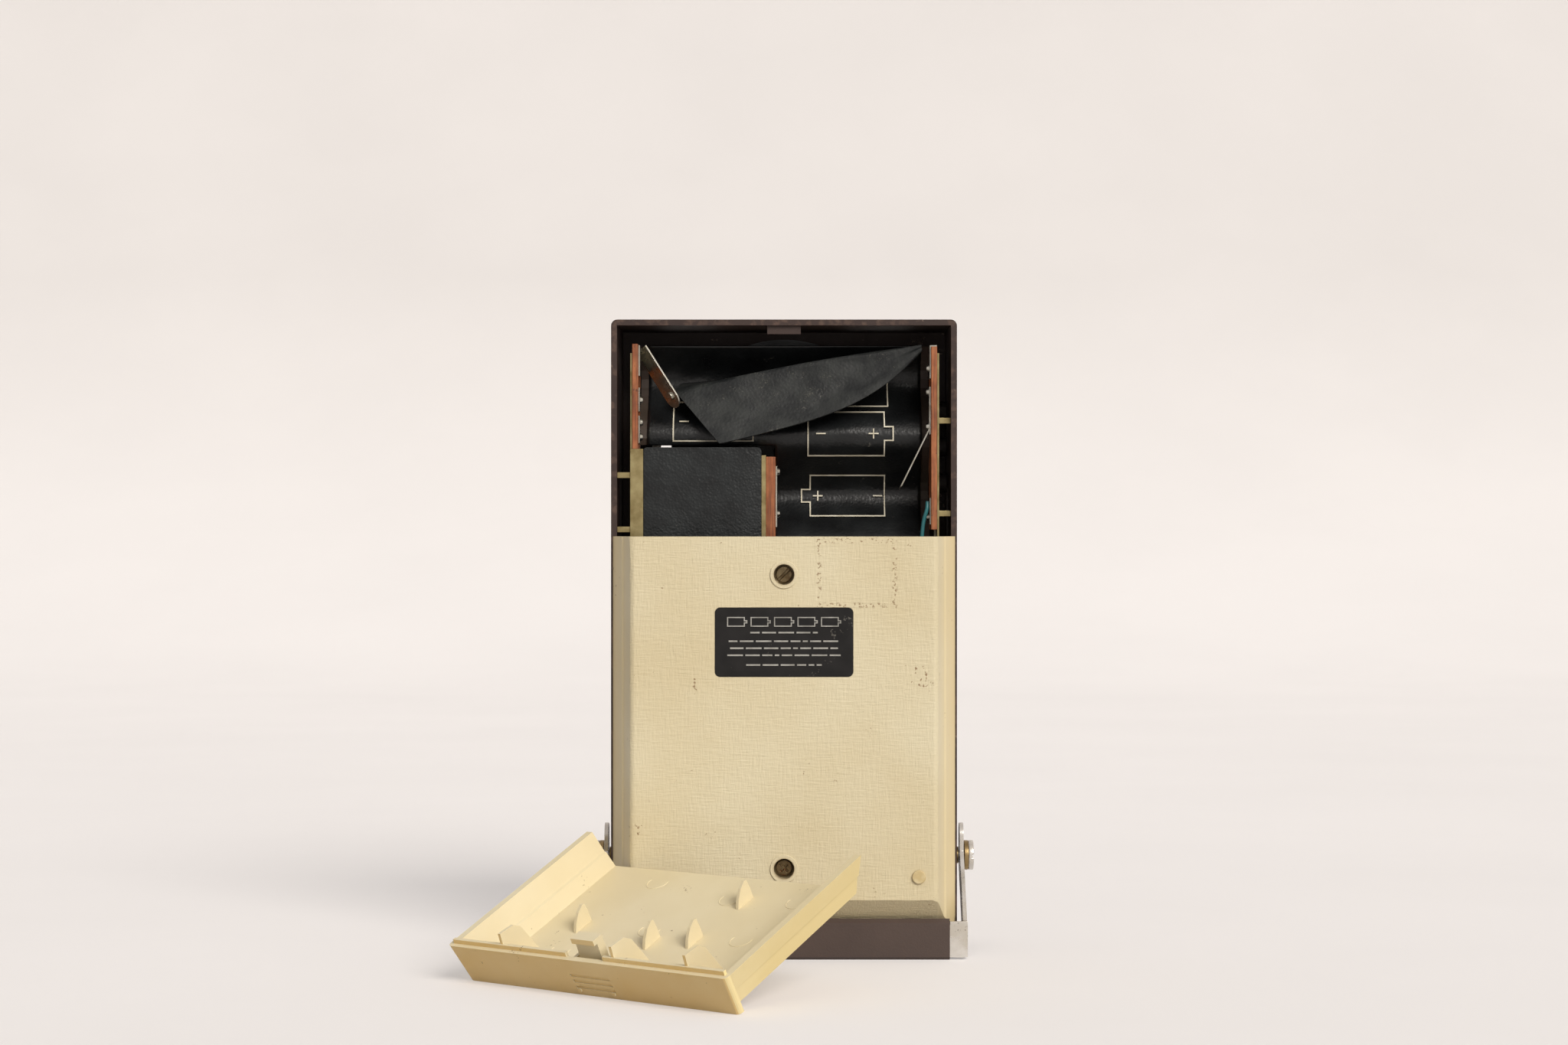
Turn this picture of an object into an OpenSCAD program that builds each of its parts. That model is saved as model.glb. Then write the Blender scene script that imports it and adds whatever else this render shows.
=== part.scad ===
// Portable cassette recorder standing on its key end, battery door taken off and leaning in front.
// Millimetres. X runs across the back, Y from the back panel to the front face, Z up.

/* [Body] */
// Width of the housing across its sides
body_w = 130; // [129.5:0.5:132]
// Height of the housing standing on its key end
body_h = 239; // [238.5:0.5:241]
// Depth from the back panel to the front face
body_d = 64; // [64:0.5:67]
// Thickness of the housing walls
wall = 2.2; // [1.8:0.1:2.3]
// Radius of the long corners of the housing
corner_r = 2.4; // [1:0.2:3]
// Height of the finger recess above the handle bar
recess_h = 11.2; // [9.6:0.2:11.2]
// Depth of the key bed in front of the finger recess
key_bed = 21; // [19:0.5:21]

/* [Back cover] */
// Depth of the back cover and of the battery door
cover_depth = 16; // [15.6:0.2:16.4]
// Thickness of the cover and door walls
cover_wall = 2; // [1.6:0.1:2.2]
// How far the housing stands out round the cover
cover_lap = 0.7; // [0.4:0.1:1]
// Height of the joint between cover and door
cover_top = 157.5; // [157:0.5:158.5]
// Width of the flat back panel
panel_w = 114; // [112:0.5:115]
// Height of the lower edge of the flat back panel
panel_low = 22.7; // [22.5:0.1:24]
// Depth of the crease in the sloping sides
crease = 7; // [6.6:0.1:7.4]
// Width of the small step at the crease
crease_step = 0.8; // [0.4:0.1:1]
// Height of the upper cover screw
screw_hi = 143.4; // [141:0.2:144]
// Height of the lower cover screw
screw_lo = 34.3; // [33.8:0.1:35]
// Diameter of the raised collar round each cover screw
collar_d = 10.3; // [9.8:0.1:11]
// Diameter of the recess inside the collar
collar_bore = 7.6; // [7.2:0.1:8]
// Diameter of the small round feet
foot_d = 5.1; // [4.5:0.1:6]
// Sideways distance of the feet from the middle
foot_x = 50; // [47:0.5:51]
// Width of the label plate
label_w = 51.2; // [48:0.2:54]
// Height of the label plate
label_h = 25.6; // [22:0.2:28]

/* [Battery bay] */
// Thickness of the contact boards
board_t = 2.2; // [1.6:0.1:2.2]
// Distance between the inner faces of the outer contact boards
bay_w = 110.3; // [109.5:0.1:110.5]
// Distance from the top of the housing to the middle of the top row of cells
row_drop = 22; // [21.5:0.5:22.5]
// Height between the two deep rows of cells
row_pitch = 43; // [42:0.5:43.5]
// Depth of the hollows in the bay floor
row_depth = 8; // [6.5:0.5:8]
// Thickness of the bay floor
floor_t = 1.2; // [0.8:0.1:1.2]
// Thickness of the printed liner sheet
liner_t = 0.5; // [0.4:0.1:0.7]
// Thickness of the loose liner flap
flap_t = 0.8; // [0.6:0.1:1]
// Diameter of the wire from the contacts
wire_d = 1.5; // [1.2:0.1:1.6]

/* [Battery door] */
// Fall of the door's end wall towards the panel
end_slope = 3; // [2:0.5:4]
// Tilt of the loose door off the ground
door_tilt = 25.5; // [24:0.5:27]
// Turn of the loose door about the upright
door_turn = 39; // [37:0.5:40]
// Sideways place of the middle of the loose door's joint edge
door_side = -19; // [-20:0.5:-16]
// Distance of the middle of the loose door's joint edge in front of the back panel
door_gap = 31.7; // [31.7:0.1:45]

/* [Handle] */
// Height of the handle pivots
pivot_z = 35.6; // [35.2:0.1:36]
// Depth of the handle pivots behind the back panel
pivot_in = 36.5; // [36.3:0.1:37]
// Thickness of the handle plate
handle_t = 1.5; // [1.2:0.1:1.6]
// Width of the handle arms
arm_w = 10; // [8:0.5:11]
// Length of the arm tail above the pivot
arm_tail = 12.4; // [9:0.2:13]
// Diameter of the pivot screws
pivot_d = 3.9; // [3:0.1:4.2]
// Diameter of the pivot screw heads
pivot_head = 11.3; // [9:0.1:12]
// Width of the grip between the bracket ends
grip_w = 123.4; // [118:0.2:124]

/* [Front] */
// Width of the speaker grille
grille_w = 108; // [100:0.5:110]
// Number of slots in the speaker grille
grille_slots = 16; // [10:1:16]
// Width of the cassette lid
lid_w = 111.4; // [110:0.1:111.6]
// Width of one key
key_w = 17.4; // [16:0.1:17.4]
// Distance from key to key
key_pitch = 18; // [17.8:0.1:18]
// Diameter of the key shaft
key_rod = 3; // [2.5:0.1:3.2]
// Height of the level meter window
meter_h = 9; // [7:0.5:9]
// How far the speaker frame is wider than its grille is high
speaker_lap = 4; // [0:1:4]
// Bore of the two larger jacks
jack_d = 3.6; // [3.56:0.01:3.7]
// Bore of the smaller jack
jack_small_d = 2.6; // [2.56:0.01:2.7]

/* [Deck] */
// Thickness of the chassis plate
deck_t = 1.2; // [0.8:0.1:1.2]
// Distance between the two reel spindles
reel_pitch = 42.5; // [42:0.1:43]
// Diameter of the flywheel
flywheel_d = 44; // [38:0.5:44]
// Diameter of the capstan shaft
capstan_d = 2; // [1.8:0.1:2.2]
// Diameter of the pinch roller
roller_d = 10; // [9:0.2:10]
// Diameter of the motor pulley
pulley_d = 8; // [6:0.2:9]
// Diameter of the drive motor
motor_d = 34; // [28:0.5:36]

/* [Fits] */
// Radial room round pins and shafts
pin_fit = 0.06; // [0.03:0.01:0.08]
// Radial room of parts pushed together
push_fit = 0.03; // [0.01:0.01:0.05]
// Room left round parts that move
move_gap = 0.3; // [0.2:0.05:0.35]

/* [Hidden] */
$fn = 48;
half = body_w / 2;
front_y = 10.5;
back_y = front_y - body_d;
rim_y = back_y + cover_depth;
in_x = half - wall;
in_front = front_y - wall;
recess_y = front_y - key_bed;
lip_x = half - cover_lap;
panel_x = panel_w / 2;
crease_x = panel_x + 2.7;
crease_y = back_y + crease;
low_lip = recess_h + cover_lap;
low_crease = panel_low - crease - 0.1;
label_z = 118.3;
foot_z = 31.3;
seat_y = back_y + 8;
door_low = cover_top + 0.3;
door_high = body_h - cover_lap;
door_foot_z = door_high - 16;
tongue_z = body_h - wall - 0.3;
door_len = door_high - end_slope - door_low;
deck_f = front_y - 19.4;
deck_b = deck_f - deck_t;
board_y = rim_y + 1;
board_in = board_y + 21;
board_l = -bay_w / 2 + 0.25;
board_r = bay_w / 2 + 0.25;
bay_top = body_h - 9.1;
bay_h = body_h - cover_top;
row_z = body_h - row_drop;
floor_mid = back_y + 37;
floor_step = 3.3;
case_l = -53;
case_r = -8.5;
case_low = cover_top - 16.5;
case_top = bay(0.411);
case_y = rim_y + 2;
case_f = deck_b - 4.4;
case_t = 1.2;
motor_x = (case_l + case_r) / 2;
motor_z = (case_low + case_top) / 2;
mid_l = case_r + 1.7;
mid_r = mid_l + 3.6;
pivot_y = back_y + pivot_in;
arm_x = max(half + 1.9, grip_w / 2 + 5.2);
arm_out = arm_x + handle_t;
bar_y = back_y + 4;
plate_y = bar_y + 0.8;
key_y = front_y - 15.5;
key_z = 44.5;
lid_low = 60.8;
lid_top = 142;
lid_back = front_y - 2.6;
lid_axis_y = front_y - 2;
lid_rod = 2;
strip_low = 41.5;
strip_top = 56;
grille_low = lid_top + 6;
grille_top = body_h - 7;
speaker_z = (grille_low + grille_top) / 2;
speaker_d = grille_top - grille_low + speaker_lap;
reel_z = 101;
capstan_x = -26;
capstan_z = 72.5;
pinch_x = -44;
pinch_z = 57;
roller_z = 63.5;
slide_z = 48.7;
volume_x = -18;
tone_x = 12;
meter_x = 40;
mic_x = -44;
jack_y = front_y - 12;
jack_z = [for (d = [33, 47, 61]) body_h - d];
board_low = 62;
board_high = 128;
pcb_y = rim_y + 4.4;
post_x = 59.2;
post_z = [53.5, 140];

// Box between two corners, given as a range along each axis
module slab(x, y, z) {
    translate([x[0], y[0], z[0]]) cube([x[1] - x[0], y[1] - y[0], z[1] - z[0]]);
}

// Round bar along Y, from y0 to y1
module rod_y(r, y0, y1) {
    translate([0, y0, 0]) rotate([-90, 0, 0]) cylinder(r = r, h = y1 - y0);
}

// Round bar along X, from x0 to x1
module rod_x(r, x0, x1) {
    translate([x0, 0, 0]) rotate([0, 90, 0]) cylinder(r = r, h = x1 - x0);
}

// Outline drawn in X and Z, carried along Y from y0 to y1
module prism_y(y0, y1) {
    translate([0, y1, 0]) rotate([90, 0, 0]) linear_extrude(y1 - y0) children();
}

// Outline drawn in Y and Z, carried along X from x0 to x1
module prism_x(x0, x1) {
    translate([x0, 0, 0]) rotate([90, 0, 90]) linear_extrude(x1 - x0) children();
}

// Rectangle with round corners
module round_rect(x, z, r) {
    translate([x[0] + r, z[0]]) square([x[1] - x[0] - 2 * r, z[1] - z[0]]);
    translate([x[0], z[0] + r]) square([x[1] - x[0], z[1] - z[0] - 2 * r]);
    for (px = [x[0] + r, x[1] - r], pz = [z[0] + r, z[1] - r]) translate([px, pz]) circle(r);
}

// The same thing on the left and on the right
module both_sides() {
    children();
    mirror([1, 0, 0]) children();
}

// Sloping sides of the cover and the door as an outline in X and Y, t inside the outer faces
function side_line(t) = [[lip_x - t, rim_y + t], [crease_x + crease_step - t, crease_y + 0.5 + 0.3 * t],
    [crease_x - t, crease_y + 0.3 * t], [panel_x - 0.8 * t, back_y + t]];
function mirrored(p) = [for (i = [len(p) - 1:-1:0]) [-p[i][0], p[i][1]]];

module side_outline(t) {
    polygon(concat(side_line(t), mirrored(side_line(t))));
}

// Height in the battery bay, as a share of its height above the joint of cover and door
function bay(share) = cover_top + share * bay_h;

// Depth of the bay floor's face, which follows the rows of cells in flat steps
function wave_y(z) = floor_mid + row_depth * cos(360 * (z - row_z) / row_pitch);
function floor_y(z) = let (a = floor(z / floor_step) * floor_step, f = (z - a) / floor_step)
    (1 - f) * wave_y(a) + f * wave_y(a + floor_step);
function floor_heights(z0, z1) = concat([z0],
    [for (k = [floor(z0 / floor_step) + 1:ceil(z1 / floor_step) - 1]) k * floor_step], [z1]);

// Strip that follows the bay floor between two heights, from depth a to depth b below its face
module floor_strip(z0, z1, a, b) {
    h = floor_heights(z0, z1);
    polygon(concat([for (z = h) [floor_y(z) + a, z]],
        [for (i = [len(h) - 1:-1:0]) [floor_y(h[i]) + b, h[i]]]));
}

module front_housing() color("#4a3833") {
    difference() {
        union() {
            difference() {
                prism_y(rim_y, front_y) round_rect([-half, half], [0, body_h], corner_r);
                slab([-half - 1, half + 1], [rim_y - 1, recess_y], [-1, recess_h]);
                difference() {
                    slab([-in_x, in_x], [rim_y - 1, in_front], [wall, body_h - wall]);
                    slab([-half, half], [rim_y - 2, recess_y + wall], [0, recess_h + wall]);
                }
            }
            both_sides() {
                translate([0, pivot_y, pivot_z]) rod_x(4.4, in_x - 6, in_x + 0.5);
                for (z = post_z) translate([post_x, 0, z]) rod_y(2.8, deck_f, in_front + 0.5);
                slab([lid_w / 2 + 0.9, lid_w / 2 + 4.3], [front_y - 5, front_y - 0.1], [57.5, 64]);
            }
            slab([-6.3, 6.3], [rim_y + 1.5, rim_y + 5], [body_h - wall - 3.2, body_h - wall + 0.5]);
        }
        both_sides() {
            translate([0, pivot_y, pivot_z]) rod_x(pivot_d / 2 + push_fit, in_x - 7, half + 1);
            for (z = post_z) translate([post_x, 0, z]) rod_y(0.95, deck_f - 1, deck_f + 8);
        }
        translate([0, lid_axis_y, lid_low]) rod_x(lid_rod / 2 + push_fit, -post_x, post_x);
        prism_y(in_front - 1, front_y + 1)
            round_rect([-lid_w / 2 - 0.5, lid_w / 2 + 0.5], [lid_low - 2.3, lid_top + 0.5], 1.5);
        prism_y(front_y - 1.6, front_y + 1)
            round_rect([-grille_w / 2 - 0.1, grille_w / 2 + 0.1], [grille_low - 0.1, grille_top + 0.1], 2);
        slab([-grille_w / 2 + 2.5, grille_w / 2 - 2.5], [in_front - 1, front_y],
            [grille_low + 2.5, grille_top - 2.5]);
        slab([-56.1, 56.1], [front_y - 1.6, front_y + 1], [strip_low - 0.1, strip_top + 0.1]);
        slab([-54, 54], [in_front - 1, front_y], [strip_low + 1.5, strip_top - 1.5]);
        slab([-55.5, 55.5], [in_front - 1, front_y + 1], [3.5, 39]);
        for (i = [0:2]) translate([0, jack_y, jack_z[i]]) rod_x(2.9 + push_fit, in_x - 1, half + 1);
    }
}

module rear_cover() color("#e3d3ae") {
    low_line = [[rim_y, low_lip], [crease_y + 0.5, low_crease - crease_step], [crease_y, low_crease],
        [back_y, panel_low], [back_y, cover_top], [rim_y, cover_top]];
    t = cover_wall;
    low_inner = [[rim_y + t, low_lip + t], [crease_y + 0.5 + 0.3 * t, low_crease - crease_step + t],
        [crease_y + 0.3 * t, low_crease + t], [back_y + t, panel_low + 0.8 * t],
        [back_y + t, cover_top + 1], [rim_y + t, cover_top + 1]];
    difference() {
        union() {
            difference() {
                intersection() {
                    linear_extrude(cover_top) side_outline(0);
                    prism_x(-half, half) polygon(low_line);
                }
                intersection() {
                    linear_extrude(cover_top + 1) side_outline(t);
                    prism_x(-half, half) polygon(low_inner);
                }
                slab([-half, half], [rim_y, rim_y + t + 1], [0, cover_top + 1]);
            }
            for (z = [screw_lo, screw_hi]) translate([0, 0, z]) rod_y(collar_d / 2, back_y - 0.5, seat_y);
        }
        for (z = [screw_lo, screw_hi]) translate([0, 0, z]) {
            rod_y(collar_bore / 2, back_y - 1, seat_y - 2);
            rod_y(1.7, back_y, seat_y + 1);
        }
        for (x = [-foot_x, foot_x]) translate([x, 0, foot_z])
            rod_y(1.2 + push_fit, back_y - 1, back_y + t + 1);
        prism_y(back_y - 1, back_y + 0.3) round_rect([-label_w / 2 - 0.1, label_w / 2 + 0.1],
            [label_z - label_h / 2 - 0.1, label_z + label_h / 2 + 0.1], 2);
    }
}

module case_screws() color("#8d8a82") {
    for (z = [screw_lo, screw_hi]) translate([0, 0, z]) difference() {
        union() {
            rod_y(2.9, seat_y - 4, seat_y - 2);
            rod_y(1.4, seat_y - 2, seat_y + 12);
        }
        if (z == screw_hi) rotate([0, -45, 0]) slab([-4, 4], [seat_y - 5, seat_y - 2.7], [-0.5, 0.5]);
        else for (a = [45, 135]) rotate([0, a, 0])
            slab([-1.9, 1.9], [seat_y - 5, seat_y - 3], [-0.45, 0.45]);
    }
    both_sides() for (z = post_z) translate([post_x, 0, z]) {
        rod_y(2.4, deck_b - 1.6, deck_b);
        rod_y(0.9, deck_b, deck_f + 7);
    }
}

module foot(z) {
    for (x = [-foot_x, foot_x]) translate([x, 0, z]) {
        rod_y(foot_d / 2, back_y - 1, back_y);
        rod_y(1.2, back_y, back_y + cover_wall + 0.5);
    }
}

module cover_feet() color("#cdbf9d") foot(foot_z);

module label_plate() color("#23201f") prism_y(back_y - 0.1, back_y + 0.3)
    round_rect([-label_w / 2, label_w / 2], [label_z - label_h / 2, label_z + label_h / 2], 1.9);

module speaker_grille() color("#b9b6ae") {
    pitch = (grille_top - grille_low - 8) / grille_slots;
    difference() {
        prism_y(front_y - 1.6, front_y - 0.4)
            round_rect([-grille_w / 2, grille_w / 2], [grille_low, grille_top], 1.9);
        for (i = [0:grille_slots - 1]) slab([-grille_w / 2 + 6, grille_w / 2 - 6], [front_y - 3, front_y],
            [grille_low + 4 + (i + 0.3) * pitch, grille_low + 4 + (i + 0.7) * pitch]);
    }
}

module speaker_frame() color("#5f6163") translate([0, in_front, speaker_z]) rotate([90, 0, 0]) {
    r = speaker_d / 2;
    rotate_extrude() polygon([[r, 0], [r, 1.2], [0.91 * r, 1.2], [0.386 * r, 10.4],
        [0.386 * r, 14.4], [4, 14.4],
        [4, 10.4], [8, 9.2], [0.352 * r, 9.2], [0.873 * r, 0.4], [0.873 * r, 0]]);
}

module speaker_cone() color("#2c2a28") translate([0, in_front, speaker_z]) rotate([90, 0, 0]) {
    r = speaker_d / 2;
    rotate_extrude() polygon([[0.873 * r - 0.3, 0], [0.873 * r - 0.3, 0.3], [0.341 * r, 8.9],
        [0, 8.9], [0, 5.2],
        [0.205 * r, 6.6], [0.327 * r, 8.2], [0.82 * r, 0]]);
}

module control_strip() color("#bcb9b1") difference() {
    slab([-56, 56], [front_y - 1.6, front_y - 0.4], [strip_low, strip_top]);
    for (x = [volume_x, tone_x]) slab([x - 11.4, x + 11.4], [front_y - 3, front_y],
        [slide_z - 1.4, slide_z + 1.4]);
    slab([meter_x - 9.5, meter_x + 9.5], [front_y - 3, front_y],
        [slide_z - meter_h / 2, slide_z + meter_h / 2]);
    for (i = [0:5]) translate([mic_x + 2.6 * cos(60 * i), 0, slide_z + 2.6 * sin(60 * i)])
        rod_y(0.7, front_y - 3, front_y);
    translate([mic_x, 0, slide_z]) rod_y(0.7, front_y - 3, front_y);
}

module cassette_well() color("#35302e") difference() {
    union() {
        slab([-54.6, 54.6], [deck_f, deck_f + 1.4], [66.5, lid_top]);
        slab([-54.6, 54.6], [deck_f, front_y - 3], [lid_top - 1.3, lid_top]);
        both_sides() slab([53.3, 54.6], [deck_f, front_y - 3], [66.5, lid_top]);
    }
    for (x = [-reel_pitch / 2, reel_pitch / 2]) translate([x, 0, reel_z]) rod_y(10, deck_f - 1, deck_f + 3);
    translate([capstan_x, 0, capstan_z]) rod_y(4.2, deck_f - 1, deck_f + 3);
}

module chassis_plate() color("#a7a49a") difference() {
    union() {
        slab([-61, 61], [deck_b, deck_f], [44, 146]);
        slab([-7, 7], [deck_b, deck_f], [screw_lo - 6, 44.5]);
        both_sides() slab([56.5, 58], [deck_f - 0.5, key_y + 3.5], [key_z - 4, key_z + 4]);
        for (x = [-8, 22]) translate([x, 0, 57]) rod_y(1.4, deck_f - 0.5, deck_f + 2.4);
        translate([pinch_x, 0, pinch_z]) rod_y(1.5, deck_f - 0.5, deck_f + 4.6);
    }
    translate([0, key_y, key_z]) rod_x(key_rod / 2 + push_fit, -59, 59);
    for (x = [-reel_pitch / 2, reel_pitch / 2]) translate([x, 0, reel_z])
        rod_y(1.5 + pin_fit, deck_b - 1, deck_f + 1);
    translate([capstan_x, 0, capstan_z]) rod_y(3.5 + push_fit, deck_b - 1, deck_f + 1);
    for (x = [-post_x, post_x], z = post_z) translate([x, 0, z]) rod_y(1.1, deck_b - 1, deck_f + 1);
}

module chassis_pillars() color("#9a978c") {
    for (z = [screw_lo, screw_hi]) translate([0, 0, z]) difference() {
        rod_y(4, seat_y, deck_b);
        rod_y(1.4 + push_fit, seat_y - 1, seat_y + 14);
    }
    for (x = [-52, 52], z = [board_low + 4, board_high - 4]) translate([x, 0, z])
        rod_y(2.5, pcb_y + 1.6, deck_b);
}

module circuit_board() color("#8c6a3c") slab([-56, 56], [pcb_y, pcb_y + 1.6], [board_low, board_high]);

module board_parts() color("#6b5d4d") {
    for (p = [[-44, 112, 5, 13], [-28, 112, 4, 11], [-14, 114, 4, 11], [4, 112, 5, 13], [-44, 78, 4, 9]])
        translate([p[0], 0, p[1]]) rod_y(p[2], pcb_y - p[3], pcb_y);
    for (p = [[22, 112], [38, 112], [22, 94]])
        slab([p[0] - 5, p[0] + 5], [pcb_y - 11, pcb_y], [p[1] - 5, p[1] + 5]);
    for (i = [0:5]) translate([-36 + 8 * i, 0, 94]) difference() {
        rod_y(2.6, pcb_y - 6, pcb_y);
        slab([-3, 3], [pcb_y - 7, pcb_y + 1], [-3, -1.2]);
    }
    for (i = [0:6]) translate([-30 + 10 * i, pcb_y - 1.3, 0]) slab([-1.3, 1.3], [-1.3, 1.3], [70, 80]);
    slab([38, 52], [pcb_y - 9, pcb_y], [70, 92]);
}

module motor_case() color("#2b2d2e") difference() {
    prism_y(case_y, case_f) round_rect([case_l, case_r], [case_low, case_top], 1.5);
    slab([case_l + case_t, case_r - case_t], [case_y + case_t, case_f - case_t],
        [case_low + case_t, case_top - case_t]);
    translate([motor_x, 0, motor_z]) rod_y(3, case_f - 3, case_f + 1);
}

module drive_motor() color("#8e9296") translate([motor_x, 0, motor_z]) difference() {
    rod_y(motor_d / 2, case_y + case_t + 1.8, case_f - case_t);
    rod_y(2.4, case_f - case_t - 1, case_f);
}

module motor_pulley() color("#c9a558") translate([motor_x, 0, motor_z]) {
    rod_y(1, case_f - case_t - 0.6, case_f + 3.8);
    rod_y(pulley_d / 2 + 0.8, case_f + 0.7, case_f + 1.1);
    rod_y(pulley_d / 2, case_f + 1, case_f + 3);
    rod_y(pulley_d / 2 + 0.8, case_f + 2.9, case_f + 3.3);
}

module drive_belt() color("#1d1c1b") prism_y(case_f + 1.4, case_f + 2.5) difference() {
    hull() {
        translate([motor_x, motor_z]) circle(pulley_d / 2 + move_gap + 1);
        translate([capstan_x, capstan_z]) circle(flywheel_d / 2 + move_gap + 1);
    }
    hull() {
        translate([motor_x, motor_z]) circle(pulley_d / 2 + move_gap);
        translate([capstan_x, capstan_z]) circle(flywheel_d / 2 + move_gap);
    }
}

module flywheel() color("#b7b2a3") translate([capstan_x, deck_b - 1.9, capstan_z]) rotate([90, 0, 0]) {
    r = flywheel_d / 2;
    rotate_extrude() polygon([[capstan_d / 2 + push_fit, 0], [4, 0], [4, 1.6], [r - 4, 1.6],
        [r - 4, 0], [r, 0],
        [r, 5.5], [r - 4, 5.5], [r - 4, 3.4], [5, 3.4], [5, 7], [capstan_d / 2 + push_fit, 7]]);
}

module capstan_shaft() color("#d5d7d8") translate([capstan_x, 0, capstan_z])
    rod_y(capstan_d / 2, deck_b - 9.4, front_y - 7.5);

module capstan_bearing() color("#b08d57") translate([capstan_x, 0, capstan_z]) difference() {
    rod_y(3.5, deck_b - 1.2, deck_f + 2.4);
    rod_y(capstan_d / 2 + pin_fit, deck_b - 3, deck_f + 4);
}

module spindle(x) translate([x, 0, reel_z]) {
    rod_y(3, deck_b - 2, deck_b - 0.5);
    rod_y(1.5, deck_b - 2, deck_f + 3);
    rod_y(9, deck_f + 2, deck_f + 3.6);
    rod_y(3, deck_f + 3, deck_f + 10.6);
    for (a = [0, 120, 240]) rotate([0, a, 0]) slab([2.4, 4.2], [deck_f + 3, deck_f + 10], [-0.6, 0.6]);
}

module supply_spindle() color("#d9d3c4") spindle(reel_pitch / 2);

module takeup_spindle() color("#d9d3c4") spindle(-reel_pitch / 2);

module head_plate() color("#b5b2a8") difference() {
    slab([-16, 30], [deck_f + 0.4, deck_f + 1.4], [49.5, 61]);
    for (x = [-8, 22]) slab([x - 1.4 - move_gap, x + 1.4 + move_gap], [deck_f - 1, deck_f + 3],
        [57 - 5.4 - move_gap, 57 + 1.4 + move_gap]);
}

// The relief behind the heads lets them rise in front of the well
module tape_heads() color("#d2cfc6") difference() {
    union() {
        slab([-6, 6], [deck_f + 1.4, deck_f + 11.4], [58.8, 63.4]);
        slab([-5, 5], [deck_f + 1.4, deck_f + 9.4], [50.5, 58.8]);
        slab([12, 20], [deck_f + 1.4, deck_f + 10.4], [59, 62.5]);
    }
    slab([-0.4, 0.4], [deck_f, deck_f + 12], [62.9, 64]);
    slab([-7, 21], [deck_f, deck_f + 1.4 + move_gap], [61.8, 64]);
}

module pinch_arm() color("#a39f94") {
    dx = capstan_x - pinch_x;
    dz = roller_z - pinch_z;
    difference() {
        prism_y(deck_f + 1.8, deck_f + 3) translate([pinch_x, pinch_z]) {
            circle(3.6);
            rotate(atan2(dz, dx)) translate([0, -2.6]) square([norm([dx, dz]), 5.2]);
            translate([dx, dz]) circle(2.6);
        }
        translate([pinch_x, 0, pinch_z]) rod_y(1.5 + pin_fit, deck_f, deck_f + 5);
    }
    translate([capstan_x, 0, roller_z]) rod_y(1, deck_f + 2.5, deck_f + 11.4);
}

module pinch_roller() color("#26241f") translate([capstan_x, 0, roller_z]) difference() {
    rod_y(roller_d / 2, deck_f + 3.6, deck_f + 10.6);
    rod_y(1 + pin_fit, deck_f + 3, deck_f + 12);
}

module key_shaft() color("#c4c4c0") translate([0, key_y, key_z]) rod_x(key_rod / 2, -58.5, 58.5);

module key_springs() color("#9d9d98") for (i = [0:5]) translate([(i - 2.5) * key_pitch, key_y, key_z])
    for (s = [-1, 1]) translate([s * (key_w / 2 - 1.6), 0, 0]) difference() {
        rod_x(2.6, -1.2, 1.2);
        rod_x(key_rod / 2 + 0.15, -2, 2);
    }

module key_lever(i, tint) color(tint) translate([(i - 2.5) * key_pitch, key_y, key_z]) {
    difference() {
        union() {
            prism_x(-key_w / 2, key_w / 2) polygon([[10.4, -38], [16, -38], [17, -37], [17, -8.5],
                [15.2, -6.6],
                [11, -6.6], [10.4, -12]]);
            prism_x(-key_w / 2 + 3.2, key_w / 2 - 3.2)
                polygon([[10.8, -16], [11.6, -6.8], [2.6, 1.8], [-2.4, -2.2], [8.4, -16]]);
            rod_x(3.2, -key_w / 2 + 3.2, key_w / 2 - 3.2);
        }
        rod_x(key_rod / 2 + pin_fit, -key_w, key_w);
        prism_x(-key_w / 2 + 3, key_w / 2 - 3)
            polygon([[17.6, -30], [17.6, -14], [16.4, -16], [16.4, -28]]);
    }
}

module key_record() color("#a33a2c") key_lever(5, "#a33a2c");
module key_rewind() color("#ddd0b0") key_lever(4, "#ddd0b0");
module key_play() color("#ddd0b0") key_lever(3, "#ddd0b0");
module key_forward() color("#ddd0b0") key_lever(2, "#ddd0b0");
module key_stop() color("#ddd0b0") key_lever(1, "#ddd0b0");
module key_pause() color("#ddd0b0") key_lever(0, "#ddd0b0");

module cassette_lid() color("#4a3833") difference() {
    union() {
        slab([-lid_w / 2, lid_w / 2], [lid_back, front_y - 0.1], [lid_low, lid_top]);
        translate([0, lid_axis_y, lid_low]) rod_x(1.9, -lid_w / 2, lid_w / 2);
        both_sides() {
            slab([51.2, 52.7], [front_y - 12, lid_back + 0.5], [66, 136]);
            slab([38, 52], [front_y - 12, lid_back + 0.5], [64, 65.4]);
            slab([51.2, 52.7], [front_y - 12, lid_back + 0.5], [64, 67]);
        }
    }
    translate([0, lid_axis_y, lid_low]) rod_x(lid_rod / 2 + pin_fit, -lid_w, lid_w);
    slab([-34, 34], [front_y - 2, front_y + 1], [88, 116]);
    slab([-32.5, 32.5], [lid_back - 1, front_y + 1], [89.5, 114.5]);
}

module lid_window() color("#9fb0b4") slab([-33.9, 33.9], [front_y - 2, front_y - 0.6], [88.1, 115.9]);

module lid_pin() color("#c4c4c0") translate([0, lid_axis_y, lid_low]) rod_x(lid_rod / 2, -59, 59);

module slider(x) translate([x, 0, slide_z]) {
    slab([-3, 3], [front_y - 0.1, front_y + 2.6], [-4, 4]);
    slab([-1, 1], [front_y - 4.5, front_y], [-1, 1]);
    slab([-2.4, 2.4], [front_y - 4.5, front_y - 2.1], [-3, 3]);
}

module volume_slider() color("#26241f") slider(volume_x);

module tone_slider() color("#26241f") slider(tone_x);

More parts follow.
